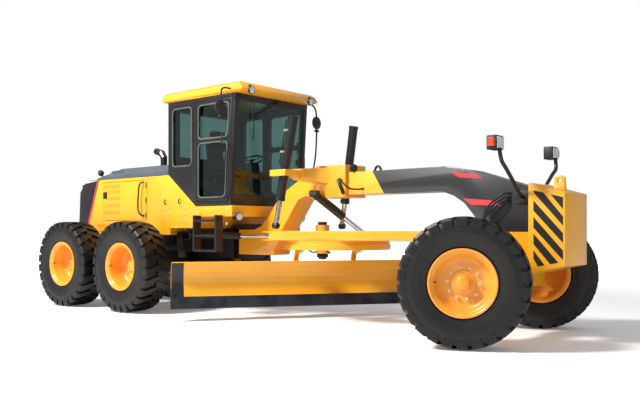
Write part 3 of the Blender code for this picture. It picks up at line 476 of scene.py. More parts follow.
# %% The repeating tree
def repeating_tree():
    """Copies a piece Count times, adding Step to its place and Turn to its angle."""
    tree = bpy.data.node_groups.new("repeated_pieces", "GeometryNodeTree")
    face = tree.interface
    face.new_socket("Geometry", in_out="OUTPUT", socket_type="NodeSocketGeometry")
    for label, kind in (("Copy", "Object"), ("Count", "Int"), ("Step", "Vector"),
                        ("Turn", "Vector"), ("Start", "Vector"), ("Finish", "Material")):
        face.new_socket(label, in_out="INPUT", socket_type="NodeSocket" + kind)
    given = add(tree, "NodeGroupInput").outputs
    index = add(tree, "GeometryNodeInputIndex").outputs[0]
    place = add(tree, "ShaderNodeVectorMath", {"operation": "SCALE"},
                {"Vector": given["Step"], "Scale": index})
    turn = add(tree, "ShaderNodeVectorMath", {"operation": "SCALE"},
               {"Vector": given["Turn"], "Scale": index})
    angle = add(tree, "ShaderNodeVectorMath", {"operation": "ADD"},
                {0: turn.outputs[0], 1: given["Start"]})
    euler = add(tree, "FunctionNodeEulerToRotation", links={0: angle.outputs[0]})
    points = add(tree, "GeometryNodePoints", links={"Count": given["Count"],
                                                    "Position": place.outputs[0]})
    copy = add(tree, "GeometryNodeObjectInfo", {"As Instance": True},
               {"Object": given["Copy"]})
    many = add(tree, "GeometryNodeInstanceOnPoints",
               links={"Points": points.outputs[0], "Instance": copy.outputs["Geometry"],
                      "Rotation": euler.outputs[0]})
    real = add(tree, "GeometryNodeRealizeInstances", links={"Geometry": many.outputs[0]})
    painted = add(tree, "GeometryNodeSetMaterial",
                  links={"Geometry": real.outputs[0], "Material": given["Finish"]})
    add(tree, "NodeGroupOutput", links={0: painted.outputs[0]})
    return tree


REPEAT = repeating_tree()


def repeated(shape, count, step=(0, 0, 0), turn=(0, 0, 0), start=(0, 0, 0)):
    """The points and faces of a shape placed count times."""
    mesh = bpy.data.meshes.new("copy")
    mesh.from_pydata(shape[0], [], shape[1])
    copy = bpy.data.objects.new("copy", mesh)
    host = bpy.data.objects.new("host", bpy.data.meshes.new("host"))
    for made in (copy, host):
        scene.collection.objects.link(made)
    grow = host.modifiers.new("repeat", "NODES")
    grow.node_group = REPEAT
    sockets = {i.name: i.identifier for i in REPEAT.interface.items_tree if i.in_out == "INPUT"}
    for label, value in (("Copy", copy), ("Count", count), ("Step", step), ("Turn", turn),
                         ("Start", start), ("Finish", BLACK)):
        grow[sockets[label]] = value
    host.data.update()
    bpy.context.view_layer.update()
    settled(host)
    result = ([tuple(v.co) for v in host.data.vertices],
              [tuple(f.vertices) for f in host.data.polygons])
    for made in (copy, host):
        bpy.data.objects.remove(made)
    return result


# %% [markdown]
# ## Sheet metal with rolled edges
# The CAD plates have knife edges. Pressed and welded sheet never has: a break of 5 to 8 mm
# catches a thin highlight along every edge, which is what makes a panel read as steel. Each
# outline is copied from the CAD node, merged, and rolled.

# %% Rolled copies of the CAD nodes
def rolled(node, finish, width=0.007, angle=38):
    """A copy of a CAD node with its long edges rolled, shown in the node's place."""
    build = bmesh.new()
    build.from_mesh(frame["nodes"][node].data)
    bmesh.ops.remove_doubles(build, verts=build.verts, dist=2e-5)
    bmesh.ops.dissolve_limit(build, angle_limit=radians(0.6), verts=build.verts,
                             edges=build.edges)
    mesh = bpy.data.meshes.new(node + "_rolled")
    build.to_mesh(mesh)
    build.free()
    made = bpy.data.objects.new(node + "_rolled", mesh)
    scene.collection.objects.link(made)
    mesh.materials.clear()
    mesh.materials.append(finish)
    body = next(b for b, names in frame["record"]["behaviour"]["bodies"].items() if node in names)
    return finished(made, body, width, angle, (node,))


ROLLED = {
    YELLOW: ("hood_frame", "cab_base", "cab_roof", "drawbar", "lift_saddle",
             "engine_hatch_left", "engine_hatch_right", "lift_yoke_left", "lift_yoke_right",
             "front_counterweight"),
    BLACK: ("radiator_housing", "cab_shell", "door_left", "door_right"),
    NECK_PAINT: ("front_frame",),
}
for finish, nodes in ROLLED.items():
    for node in nodes:
        rolled(node, finish)


def repaint(finish, *nodes):
    """Gives CAD nodes whose shape stays a finish."""
    for node in nodes:
        made = frame["nodes"][node]
        for used in made.material_slots:
            used.material = finish


repaint(GLASS, "windshield", "rear_window", "quarter_window_left", "quarter_window_right",
        "door_glass_left", "door_glass_right")
repaint(HOOD_TOP_PAINT, "hood_top")
repaint(CHARCOAL, "engine_block")
repaint(BLACK, "rear_frame", "tandem_axle", "blade_carrier")
repaint(YELLOW, "mouldboard", "front_axle", "steering_knuckle_left", "steering_knuckle_right")
repaint(WEAR_STEEL, "cutting_edge", "drawbar_swivel")
print("rolled", sum(len(n) for n in ROLLED.values()), "nodes")

# %% [markdown]
# ## Tyres
# A grader runs on wide, soft radial tyres with deep diagonal lugs that meet in a chevron,
# so that they clean themselves. The casing is one turned shape. A lug is lofted from the
# buttress on the side wall, over the shoulder, to just past the centre line, and a ring of
# them is repeated on each side, half a pitch apart, so that the two rows interlock.

# %% Tyre casing and lugs
LUGS = 26
TREAD_RADIUS = 0.6745
CASING_HALF = ((0.1778, 0.318), (0.1778, 0.3535), (0.186, 0.366), (0.196, 0.372), (0.199, 0.386),
               (0.200, 0.398), (0.210, 0.425), (0.2165, 0.465), (0.2195, 0.50), (0.2215, 0.512),
               (0.2215, 0.520), (0.2195, 0.532), (0.2175, 0.57), (0.209, 0.605), (0.196, 0.628),
               (0.17, 0.640), (0.09, 0.644))
CASING = CASING_HALF + ((0, 0.645),) + tuple((-y, r) for y, r in reversed(CASING_HALF))
# Each station across a lug: outer (along, radius), inner (along, radius), lead angle in
# degrees and half width in metres.
LUG_STATIONS = (((0.2212, 0.575), (0.195, 0.568), 0.0, 0.050),
                ((0.2222, 0.600), (0.195, 0.590), 0.0, 0.054),
                ((0.2215, 0.640), (0.180, 0.620), 0.0, 0.057),
                ((0.2080, 0.664), (0.160, 0.630), 0.2, 0.057),
                ((0.1500, 0.672), (0.130, 0.632), 1.6, 0.050),
                ((0.0700, TREAD_RADIUS), (0.070, 0.634), 5.0, 0.042),
                ((-0.0180, TREAD_RADIUS), (-0.012, 0.634), 7.4, 0.034))


def lug(side):
    """One tread lug on one side of the casing, at the top of the wheel."""
    points, faces = [], []
    for outer, inner, lead, half in LUG_STATIONS:
        for (along, radius), sign in ((outer, 1), (outer, -1), (inner, -1), (inner, 1)):
            narrow = 1.0 if radius > 0.6 and (along, radius) == outer else 1.08
            angle = radians(lead) + sign * narrow * half / TREAD_RADIUS
            points.append((radius * sin(angle), side * along, radius * cos(angle)))
    for k in range(len(LUG_STATIONS) - 1):
        a, b = 4 * k, 4 * k + 4
        faces += [(a + s, a + (s + 1) % 4, b + (s + 1) % 4, b + s) for s in range(4)]
    last = 4 * (len(LUG_STATIONS) - 1)
    return points, faces + [(0, 1, 2, 3), tuple(range(last, last + 4))]


pitch = 2 * pi / LUGS
TYRE_SHAPES = [revolved(CASING, 104)]
for side, _ in SIDES:
    TYRE_SHAPES.append(repeated(lug(side), LUGS, turn=(0, pitch, 0),
                                start=(0, pitch / 2 if side < 0 else 0, 0)))
print("tyre faces", sum(len(s[1]) for s in TYRE_SHAPES))

# %% [markdown]
# ## Rims
# A three-piece rim is turned: a rolled flange and lock ring at the lip, a drop to the disc,
# and a hub. Driven wheels sit deep because the final drive fills them. Steered wheels have
# a shallow disc and a capped hub. Ten zinc-plated nuts hold each to its hub.

# %% Rim profiles
LIP = ((0.150, 0.288), (0.166, 0.293), (0.172, 0.304), (0.180, 0.308), (0.184, 0.318),
       (0.192, 0.322), (0.198, 0.334), (0.200, 0.345), (0.197, 0.3515), (0.183, 0.3515),
       (0.1785, 0.341), (0.1772, 0.3175))
BACK_LIP = ((-0.1772, 0.3175), (-0.1785, 0.3515), (-0.197, 0.3515), (-0.200, 0.340),
            (-0.190, 0.312), (-0.172, 0.300), (-0.150, 0.296))
FRONT_RIM = (((0.168, 0), (0.168, 0.058), (0.160, 0.068), (0.128, 0.070), (0.126, 0.084),
              (0.100, 0.088), (0.094, 0.120), (0.080, 0.134), (0.080, 0.218), (0.086, 0.250),
              (0.108, 0.272)) + LIP + BACK_LIP
             + ((-0.02, 0.292), (0.020, 0.270), (0.0505, 0.230), (0.0505, 0)))
REAR_RIM = (((-0.002, 0), (-0.002, 0.070), (-0.010, 0.080), (-0.060, 0.084), (-0.066, 0.096),
             (-0.070, 0.100), (-0.070, 0.225), (-0.064, 0.252), (-0.040, 0.272), (0.02, 0.280))
            + LIP + BACK_LIP
            + ((-0.130, 0.280), (-0.108, 0.262), (-0.0995, 0.235), (-0.0995, 0)))
NUT_RING, NUTS = 0.165, 10


def nut(seat):
    """A wheel nut on its washer and stud, standing out along Y from the disc."""
    washer = ((seat - 0.002, 0), (seat - 0.002, 0.021), (seat + 0.004, 0.020), (seat + 0.004, 0))
    hexagon = ((seat + 0.003, 0), (seat + 0.003, 0.0155), (seat + 0.018, 0.0155),
               (seat + 0.021, 0.012), (seat + 0.021, 0))
    stud = ((seat + 0.02, 0), (seat + 0.02, 0.008), (seat + 0.032, 0.007), (seat + 0.032, 0))
    shapes = [revolved(washer, 14), revolved(hexagon, 6), revolved(stud, 10)]
    points, faces = [], []
    for spots, sides in shapes:
        faces += [tuple(k + len(points) for k in face) for face in sides]
        points += [(x, y, z + NUT_RING) for x, y, z in spots]
    return points, faces


# %% Wheels on their spindles
for joint in frame["joints"]:
    body = joint["child"]
    if not body.startswith("wheel_"):
        continue
    where, label = body.split("_")[1:]
    outward = Vector(joint["axis"]) * (1 if label == "left" else -1)
    hub = facing(joint["pos_m"], outward)
    is_front = where == "front"
    piece("tyre_casing_" + where + "_" + label, [placed(s, hub) for s in TYRE_SHAPES], RUBBER,
          body, angle=28, shift=0, stands_for=("tyre_" + where + "_" + label,))
    piece("dished_rim_" + where + "_" + label,
          [placed(revolved(FRONT_RIM if is_front else REAR_RIM, 72), hub)], WHEEL_YELLOW, body,
          angle=40, shift=0, stands_for=("rim_" + where + "_" + label,))
    nuts = repeated(nut(0.080 if is_front else -0.070), NUTS, turn=(0, 2 * pi / NUTS, 0),
                    start=(0, 0.22, 0))
    piece("wheel_nuts_" + where + "_" + label, [placed(nuts, hub)], ZINC, body, angle=30, shift=0)
    valve = rod((0.27, 0.12, 0), (0.29, 0.17, 0.01), 0.005, 8, 0.001)
    piece("valve_stem_" + where + "_" + label, [placed(valve, hub)], NYLON, body, shift=0)

# %% [markdown]
# ## Cab
# The cab is a welded frame of square tube with thick rubber-sealed glass. The seals are
# round-cornered loops of extrusion. Behind each rounded corner a small filled gusset closes
# the square opening of the frame, so that no light leaks round the seal.

# %% Window seals
SEAL_RADIUS, WINDOW_ROUND, ARC_POINTS = 0.011, 0.075, 7
FRONT_LOW, FRONT_HIGH, FLOOR_Z, TOP_Z = 2.58, 2.68, 1.5553, 3.09
DOOR_BAR_Z = 2.47


def front_x(z):
    """The raked front of the cab at a height."""
    return FRONT_LOW + (FRONT_HIGH - FRONT_LOW) * (z - FLOOR_Z) / (TOP_Z - FLOOR_Z)


def window(name, corners, y, depth, body):
    """A round-cornered rubber seal with gussets that fill the corners of a square opening."""
    run = rounded_outline(corners, WINDOW_ROUND)
    path = [(x, y, z) for x, z in run]
    piece(name + "_seal", [tube(path, SEAL_RADIUS, 8, loop=True)], SEAL, body)
    gussets = []
    for k, (x, z) in enumerate(corners):
        arc = run[ARC_POINTS * k:ARC_POINTS * (k + 1)]
        gussets.append(prism([(x, z)] + arc, *depth))
    piece(name + "_gussets", gussets, BLACK, body)


DOOR_REAR_X, FRONT_MARGIN, BAR_HALF = 1.925, 0.115, 0.03
for side, label in SIDES:
    for name, low, high in (("door_upper_", DOOR_BAR_Z + BAR_HALF, 2.979),
                            ("door_lower_", 1.671, DOOR_BAR_Z - BAR_HALF)):
        window(name + label,
               [(DOOR_REAR_X, low), (front_x(low) - FRONT_MARGIN, low),
                (front_x(high) - FRONT_MARGIN, high), (DOOR_REAR_X, high)],
               side * 0.749, span(side, 0.716, 0.746), "door_" + label)
    window("quarter_" + label, [(1.36, 2.14), (1.78, 2.14), (1.78, 2.98), (1.36, 2.98)],
           side * 0.751, span(side, 0.734, 0.748), "chassis")


# %% Windshield and rear seals, wiper
def raked(y, z, out=0.0):
    """A point on the windshield's outer face."""
    return (front_x(z) - 0.016 + out, y, z)


screen = rounded_outline([(-0.68, 1.70), (0.68, 1.70), (0.68, 3.01), (-0.68, 3.01)], 0.05)
piece("windshield_seal", [tube([raked(y, z) for y, z in screen], 0.010, 8, loop=True)], NYLON,
      "chassis")
back = rounded_outline([(-0.56, 2.30), (0.56, 2.30), (0.56, 2.98), (-0.56, 2.98)], 0.06)
piece("rear_window_seal", [tube([(1.2555, y, z) for y, z in back], 0.010, 8, loop=True)], SEAL,
      "chassis")
piece("wiper", [tube([raked(0.06, 3.055, 0.035), raked(-0.10, 2.95, 0.04),
                      raked(-0.34, 2.80, 0.035)], 0.008, 8),
                tube([raked(0.075, 3.04, 0.035), raked(-0.09, 2.93, 0.04),
                      raked(-0.32, 2.77, 0.035)], 0.006, 8),
                tube([raked(-0.40, 3.02, 0.03), raked(-0.39, 2.75, 0.034),
                      raked(-0.38, 2.45, 0.03)], 0.007, 8),
                rod((2.66, 0.07, 3.04), (2.74, 0.07, 3.045), 0.022, 16)], NYLON, "chassis",
      angle=50)

# %% [markdown]
# Round work lights hang from the brow of the roof. Each is a turned bucket with a bezel and
# a fluted lens, on a small bracket. The lens is dished, so that it catches a highlight.

# %% Work lights
def round_lamp(name, place, direction, radius, body, lens=LENS):
    """A turned lamp bucket with a bezel and a slightly domed lens."""
    turn = facing(place, direction)
    bucket = ((-0.055, 0), (-0.055, radius * 0.45), (-0.040, radius * 0.75), (-0.012, radius),
              (0.010, radius), (0.014, radius * 0.94), (0.008, radius * 0.86), (0.004, 0))
    dome = ((0.0045, 0), (0.0045, radius * 0.85), (0.010, radius * 0.84), (0.015, radius * 0.5),
            (0.017, 0))
    piece(name + "_bucket", [placed(revolved(bucket, 32), turn)], NYLON, body, angle=45)
    piece(name + "_lens", [placed(revolved(dome, 32), turn)], lens, body, angle=45)


for side, label in SIDES:
    round_lamp("roof_lamp_" + label, (2.865, side * 0.62, 3.115), (1, 0, -0.18), 0.056, "chassis")
    piece("roof_lamp_bracket_" + label,
          [block((2.815, 2.835), (side * 0.62 - 0.02, side * 0.62 + 0.02), (3.10, 3.19))],
          NYLON, "chassis", bevel=0.002)
    round_lamp("low_work_lamp_" + label, (2.665, side * 0.66, 1.40), (1, side * 0.25, -0.1),
               0.058, "chassis")
    piece("low_lamp_bracket_" + label,
          [rod((2.55, side * 0.66, 1.40), (2.62, side * 0.66, 1.40), 0.018),
           block((2.565, 2.58), span(side, 0.62, 0.70), (1.36, 1.47))], NYLON, "chassis")

# %% Crossmember and handles
piece("front_crossmember", [block((2.56, 2.598), (-0.72, 0.72), (1.43, 1.5545))], YELLOW,
      "chassis",
      bevel=0.006)
for side, label in SIDES:
    y = side * 0.754                      # the door's outer face
    grip = [(2.445, y, 2.38), (2.445, y + side * 0.035, 2.40), (2.455, y + side * 0.035, 2.52),
            (2.455, y, 2.54)]
    piece("door_pull_" + label, [bent(grip, 4, 0.009, 8)], NYLON, "door_" + label, angle=60)
    piece("door_latch_" + label,
          [block((2.44, 2.50), span(side, 0.744, 0.766), (2.19, 2.29))], NYLON,
          "door_" + label, bevel=0.004)
    rail = [(2.52, side * 0.76, 1.66), (2.545, side * 0.80, 1.72), (2.575, side * 0.80, 2.30),
            (2.56, side * 0.76, 2.38)]
    piece("pillar_grab_rail_" + label, [bent(rail, 5, 0.011, 10)], BLACK, "chassis",
          angle=60)

# %% [markdown]
# The mirrors stand out on bent tube from the front corners of the roof. Each is a round
# convex glass in a black moulding, clamped by a knuckle, and looks rearwards.

# %% Mirrors
for side, label in SIDES:
    arm = [(2.62, side * 0.7903, 3.14), (2.62, side * 0.90, 3.135), (2.64, side * 0.975, 3.08),
           (2.658, side * 0.99, 2.95), (2.66, side * 0.99, 2.74)]
    if side > 0:
        arm += [(2.66, 0.97, 2.40), (2.64, 0.94, 2.15)]
    dish = facing((2.655, side * 1.0, 2.86), (1, 0, 0))
    shell = ((-0.016, 0), (-0.016, 0.094), (-0.008, 0.0995), (0.004, 0.097), (0.020, 0.07),
             (0.028, 0.03), (0.030, 0))
    piece("mirror_arm_" + label, [bent(arm, 5, 0.0125, 12)], BLACK, "chassis", angle=60,
          stands_for=("mirror_" + label,))
    knuckle = rod((2.66, side * 0.955, 2.735), (2.66, side * 1.03, 2.735), 0.020, 14)
    piece("mirror_backs_" + label, [placed(revolved(shell, 36), dish), knuckle], NYLON, "chassis",
          bevel=0.004, angle=45)
    face = ((-0.0165, 0), (-0.0165, 0.088), (-0.0185, 0.088), (-0.0195, 0.05), (-0.020, 0))
    piece("mirror_faces_" + label, [placed(revolved(face, 36), dish)], MIRROR, "chassis",
          angle=45)

# %% [markdown]
# ## Inside the cab
# The operator sits on a sprung pedestal between two consoles, behind a steering column.
# Through tinted glass only the outline and the soft crown of the cushions read, so these
# are made as padded forms: a box that is subdivided, puffed and pulled in at its corners.

# %% Seat
def cushion(name, low, high, puff, turn=0.0, pivot=(0, 0, 0)):
    """A padded form: crowned faces and pulled-in corners."""
    build = bmesh.new()
    bmesh.ops.create_cube(build, size=1)
    bmesh.ops.subdivide_edges(build, edges=build.edges, cuts=9, use_grid_fill=True)
    low, high = Vector(low), Vector(high)
    size, middle = high - low, (low + high) / 2
    lean = Matrix.Translation(pivot) @ Matrix.Rotation(turn, 4, "Y") @ Matrix.Translation(
        -Vector(pivot))
    for spot in build.verts:
        u = spot.co * 2
        crown = [(1 - u[(k + 1) % 3] ** 2) * (1 - u[(k + 2) % 3] ** 2) for k in range(3)]
        draw = 1 - 0.10 * (abs(u.x * u.y) ** 3 + abs(u.y * u.z) ** 3 + abs(u.x * u.z) ** 3) / 3
        place = Vector([u[k] * size[k] / 2 * draw + puff * u[k] * crown[k] for k in range(3)])
        spot.co = lean @ (middle + place)
    points = [tuple(v.co) for v in build.verts]
    faces = [tuple(v.index for v in f.verts) for f in build.faces]
    build.free()
    made = piece(name, [(points, faces)], VINYL, "chassis", angle=80)
    return made


cushion("seat_cushion", (1.62, -0.24, 1.985), (2.06, 0.24, 2.085), 0.012)
cushion("seat_back", (1.55, -0.225, 2.10), (1.645, 0.225, 2.55), 0.012, radians(-11),
        (1.60, 0, 2.10))
cushion("head_rest", (1.47, -0.13, 2.60), (1.55, 0.13, 2.715), 0.008)

# %% Pedestal, consoles and steering column
FLOOR_TOP = 1.5956
station = [block((1.94, 2.42), (-0.27, 0.27), (FLOOR_TOP + 0.0005, FLOOR_TOP + 0.018)),
           block((1.915, 2.045), (-0.17, 0.17), (FLOOR_TOP + 0.0005, 1.90)),
           block((1.66, 2.03), (-0.19, 0.19), (1.90, 1.985))]
station += [prism(((2.29, FLOOR_TOP + 0.01), (2.40, FLOOR_TOP + 0.01), (2.30, 2.20),
                   (2.22, 2.20)), -0.08, 0.08)]
station += [block((1.66, 1.98), span(side, 0.245, 0.278), (2.12, 2.17))
            for side, _ in SIDES]
piece("operator_pedestal", station, NYLON, "chassis", bevel=0.006,
               stands_for=("operator_station",))
wheel_place = facing((2.235, 0, 2.235), (-0.35, 0, 1))
rim_path = [(0.18 * sin(2 * pi * k / 40), 0, 0.18 * cos(2 * pi * k / 40)) for k in range(40)]
spokes = [rod((0, -0.004, 0), (0.17 * sin(a), 0, 0.17 * cos(a)), 0.008, 8, 0.001)
          for a in (0.5, 2.6, 4.7)]
piece("steering_wheel",
      [placed(s, wheel_place) for s in [tube(rim_path, 0.013, 8, loop=True)] + spokes
       + [revolved(((-0.02, 0), (-0.02, 0.03), (0.012, 0.035), (0.012, 0)), 20)]],
      NYLON, "chassis", angle=60)
levers = [rod((2.26, side * (0.10 + 0.045 * k), 1.90), (2.19, side * (0.11 + 0.045 * k), 2.16),
              0.007, 8, 0.001) for side, _ in SIDES for k in range(3)]
knobs = [rod((2.19, side * (0.11 + 0.045 * k), 2.15), (2.18, side * (0.11 + 0.045 * k), 2.19),
             0.014, 10, 0.004) for side, _ in SIDES for k in range(3)]
bar = [block((2.22, 2.29), (-0.24, 0.24), (1.86, 1.91))]
piece("control_levers", levers + knobs + bar, NYLON, "chassis", angle=50)

# %% [markdown]
# ## Hood, hatches and rear
# The hood is folded sheet over a frame. Its side hatches are hinged at the cab end and
# breathe through rows of pressed louvres. A press tool makes each louvre the same, so the
# rows are one scoop repeated. Pull handles and latches are black mouldings.

# %% Louvre rows
HOOD_FACE = 0.5795
EYE_NUT = ((0.0, 0), (0.0, 0.017), (0.008, 0.017), (0.012, 0.010), (0.012, 0))


def louvre(side):
    """One pressed scoop, open towards the rear, standing out of a hood panel."""
    lift = side * 0.015
    points = [(0, 0, -0.028), (0.022, 0, -0.026), (0.022, 0, 0.026), (0, 0, 0.028),
              (0.003, lift, -0.024), (0.010, lift, -0.022), (0.010, lift, 0.022),
              (0.003, lift, 0.024)]
    faces = [(0, 1, 2, 3), (4, 5, 6, 7), (0, 1, 5, 4), (1, 2, 6, 5), (2, 3, 7, 6), (3, 0, 4, 7)]
    return points, faces


LOUVRE_PITCH = 0.034
HATCH_ROWS = ((-0.59, 1.93, 13), (-0.49, 1.84, 10), (-0.49, 1.735, 10), (-0.59, 1.625, 13),
              (-0.59, 1.515, 13))
HOOD_ROWS = ((-0.78, 1.30, 17), (-0.73, 1.215, 16))
for side, label in SIDES:
    for rows, body, name in ((HATCH_ROWS, "hatch_" + label, "hatch_louvres_" + label),
                             (HOOD_ROWS, "chassis", "hood_louvres_" + label)):
        row_shapes = []
        for start_x, level, count in rows:
            run = repeated(louvre(side), count, step=(LOUVRE_PITCH, 0, 0))
            row_shapes.append(moved(run, (start_x, side * (HOOD_FACE - 0.001), level)))
        piece(name, row_shapes, YELLOW, body, angle=30)
    y = side * HOOD_FACE
    piece("hatch_latch_" + label,
          [block((-0.62, -0.52), span(side, HOOD_FACE, HOOD_FACE + 0.010), (1.73, 1.84)),
           block((-0.60, -0.54), span(side, HOOD_FACE + 0.008, HOOD_FACE + 0.020), (1.76, 1.81))],
          NYLON, "hatch_" + label, bevel=0.003)
    rail = [(0.45, y, 1.965), (0.43, y + side * 0.05, 1.945), (0.40, y + side * 0.06, 1.86),
            (0.38, y + side * 0.06, 1.56), (0.43, y + side * 0.05, 1.46), (0.46, y, 1.44)]
    piece("hatch_grab_rail_" + label, [bent(rail, 5, 0.0125, 12)], BLACK,
          "hatch_" + label, angle=60)
    hinges = repeated(rod((0, 0, 0), (0, 0, 0.09), 0.012, 12), 3, step=(0, 0, 0.235))
    piece("hatch_hinges_" + label, [moved(hinges, (0.51, side * 0.58, 1.40))], BLACK,
          "hatch_" + label, angle=50)
    slots = repeated(louvre(1), 9, step=(LOUVRE_PITCH, 0, 0))
    lean = Matrix.Translation((-0.47, side * 0.513, 2.1645)) @ Matrix.Rotation(
        side * radians(52), 4, "X")
    flip = Matrix.Diagonal((1, side, 1, 1))
    piece("slope_vent_" + label, [placed(placed(slots, flip), lean)], SLATE, "chassis", angle=30)
    stripe = ((-1.138, 1.150), (-1.085, 1.150), (-0.773, 2.04), (-0.800, 2.04))
    piece("rear_stripe_" + label,
          [prism(stripe, *span(side, HOOD_FACE + 0.0008, HOOD_FACE + 0.0016))], RED, "chassis")
    eyes = [turned(EYE_NUT, 12, (x, side * 0.7399, z), (0, side, 0))
            for x, z in ((1.23, 1.54), (1.23, 1.445), (1.23, 1.35), (1.61, 1.54), (1.61, 1.445),
                         (1.61, 1.35), (1.42, 1.25), (2.50, 1.50), (2.50, 1.30))]
    piece("cab_base_bolts_" + label, eyes, ZINC, "chassis", angle=40)
    hook = [(1.18, side * 0.738, 1.66), (1.18, side * 0.762, 1.655), (1.18, side * 0.765, 1.61),
            (1.18, side * 0.738, 1.60)]
    piece("tie_loop_" + label, [bent(hook, 4, 0.008, 8),
                                tube([(x + 0.33, yy, z) for x, yy, z in eased(hook, 4)],
                                     0.008, 8)], BLACK, "chassis", angle=60)

# %% Seams of the hood
# Folded covers meet at dark gaps. Each is a strip of rubber proud of the sheet by a hair.
seams = []
for side, label in SIDES:
    skin = span(side, 0.579, 0.5808)
    seams += [block((0.545, 0.551), skin, (1.15, 2.045)),
              block((-1.0, 1.09), skin, (2.044, 2.052))]
piece("hood_seams", seams, NYLON, "chassis")

# %% [markdown]
# The rear carries a grille of flat slats in front of the cooling fan, round lamps on short
# stalks at the shoulders of the hood, and red and amber lamps beside the grille.

# %% Rear grille and lamps
slats = repeated(block((0, 0.012), (-0.47, 0.47), (-0.007, 0.007)), 22, step=(0, 0, 0.036))
piece("rear_grille", [moved(slats, (-1.351, 0, 1.20))], NYLON, "chassis",
      bevel=0.0015)
piece("rear_grille_frame",
      [block((-1.352, -1.339), width, height)
       for width, height in (((-0.50, -0.47), (1.17, 1.99)), ((0.47, 0.50), (1.17, 1.99)),
                             ((-0.47, 0.47), (1.965, 1.99)), ((-0.47, 0.47), (1.17, 1.185)))],
      BLACK, "chassis", bevel=0.002)
for side, label in SIDES:
    round_lamp("rear_work_lamp_" + label, (-0.82, side * 0.50, 2.17), (-1, side * 0.2, -0.1),
               0.052, "chassis")
    piece("rear_lamp_stalk_" + label,
          [rod((-0.78, side * 0.49, 2.045), (-0.775, side * 0.49, 2.165), 0.013, 12)], BLACK,
          "chassis")
    for name, finish, height in (("tail_lamp_", TAIL_RED, (1.22, 1.32)),
                                 ("turn_lamp_", AMBER, (1.33, 1.40))):
        piece(name + label, [block((-1.354, -1.338), span(side, 0.512, 0.565), height)], finish,
              "chassis", bevel=0.004)

# %% [markdown]
# ## Hydraulic cylinders
# Each cylinder is a honed tube with a screwed gland at its mouth and a hard chromed rod.
# A thin steel pipe runs along the barrel to feed the far end, clipped on twice. Lift
# cylinders hang in a yoke by their middle, so their barrels stand up past the saddle.

# %% Glands, end caps and pipes
repaint(BLACK, *[name for name in frame["nodes"]
                 if name.endswith("_barrel") or name.startswith("lift_barrel")])
repaint(CHROME, *[n for n in frame["nodes"] if n.endswith("_rod") or n.startswith("lift_rod")])
LIFT_TOP, LIFT_EYE = (3.51, 0.67, 1.95), (3.385, 0.70, 1.27)
PIPE_OUT = 0.086                # from the barrel's axis to the pipe's
CAP = ((-0.004, 0), (-0.004, 0.066), (0.024, 0.068), (0.030, 0.060), (0.038, 0.058),
       (0.038, 0.035), (0.034, 0.0))
GLAND = ((0.0, 0.036), (0.0, 0.066), (0.045, 0.068), (0.050, 0.060), (0.050, 0.036))
EYE_RING = ((-0.040, 0.0), (-0.040, 0.038), (-0.034, 0.043), (0.034, 0.043), (0.040, 0.038),
            (0.040, 0.0))

for side, label in SIDES:
    mirror = Matrix.Diagonal((1, side, 1))
    top, low = mirror @ Vector(LIFT_TOP), mirror @ Vector(LIFT_EYE)
    up = (top - low).normalized()
    body = "lift_barrel_" + label
    piece("lift_cap_" + label, [turned(CAP, 32, top + up * 0.712, up)], BLACK, body, angle=45)
    piece("lift_gland_" + label, [turned(GLAND, 32, top - up * 0.3115, -up)], BLACK, body,
          angle=45)
    back = Vector((-0.55, side * 0.84, 0)).normalized()
    path = [top + up * height + back * out
            for height, out in ((0.705, 0.060), (0.700, 0.082), (0.62, PIPE_OUT),
                                (0.22, PIPE_OUT), (0.13, PIPE_OUT), (0.115, 0.060))]
    piece("lift_pipe_" + label, [bent(path, 5, 0.010, 10)], BLACK, body, angle=60)
    for share in (0.28, 0.56):
        clip = block((-0.03, 0.03), (0.045, 0.10), (-0.012, 0.012))
        piece("pipe_clip_%s_%d" % (label, round(share * 100)),
              [placed(clip, facing(top + up * share, back))], ZINC, body, bevel=0.003)
    piece("lift_rod_end_" + label, [turned(EYE_RING, 28, low, (1, 0, 0))], BLACK,
          "lift_rod_" + label, angle=45)

# %% [markdown]
# ## Drawbar, circle and drive
# The circle is a rolled ring with teeth on its inside, one block repeated round it. An oil
# swivel under the drawbar feeds the blade through two hoses.

# %% Circle, teeth and oil swivel
CIRCLE_X, TEETH = 3.85, 60
tooth = ([(x, y, z) for z in (0.965, 1.065) for x, y in
          ((0.572, -0.017), (0.572, 0.017), (0.543, 0.009), (0.543, -0.009))],
         [(0, 1, 2, 3), (4, 5, 6, 7), (0, 1, 5, 4), (1, 2, 6, 5), (2, 3, 7, 6), (3, 0, 4, 7)])
ring = repeated(tooth, TEETH, turn=(0, 0, 2 * pi / TEETH))
piece("circle_teeth", [moved(ring, (CIRCLE_X, 0, 0))], WEAR_STEEL, "circle")
BLADE = Matrix.Translation((CIRCLE_X, 0, 0)) @ Matrix.Rotation(radians(-35.2), 4, "Z")
RING_LOW, RING_HIGH = 0.955, 1.0797
ring_profile = ((RING_LOW, 0.575), (RING_LOW, 0.706), (RING_LOW + 0.006, 0.714),
                (1.03, 0.714), (1.036, 0.700), (RING_HIGH, 0.700), (RING_HIGH, 0.575))
ring_body = turned(ring_profile, 96, (CIRCLE_X, 0, 0), (0, 0, 1))
ARM = ((-0.28, 0.975), (-0.50, 0.975), (-0.60, 0.89), (-0.735, 0.55), (-0.735, 0.32),
       (-0.645, 0.32), (-0.645, 0.66), (-0.545, 0.88), (-0.28, 0.92))
arms = [placed(prism(ARM, *span(side, 0.39, 0.45)), BLADE) for side, _ in SIDES]
piece("slewing_ring", [ring_body] + arms, YELLOW, "circle", angle=32, stands_for=("circle",))
SWIVEL_X, SWIVEL_Y = 3.73, -0.16
SWIVEL_BODY = ((0, 0), (0, 0.07), (0.01, 0.076), (0.05, 0.076), (0.055, 0.055), (0.075, 0.05),
               (0.08, 0))
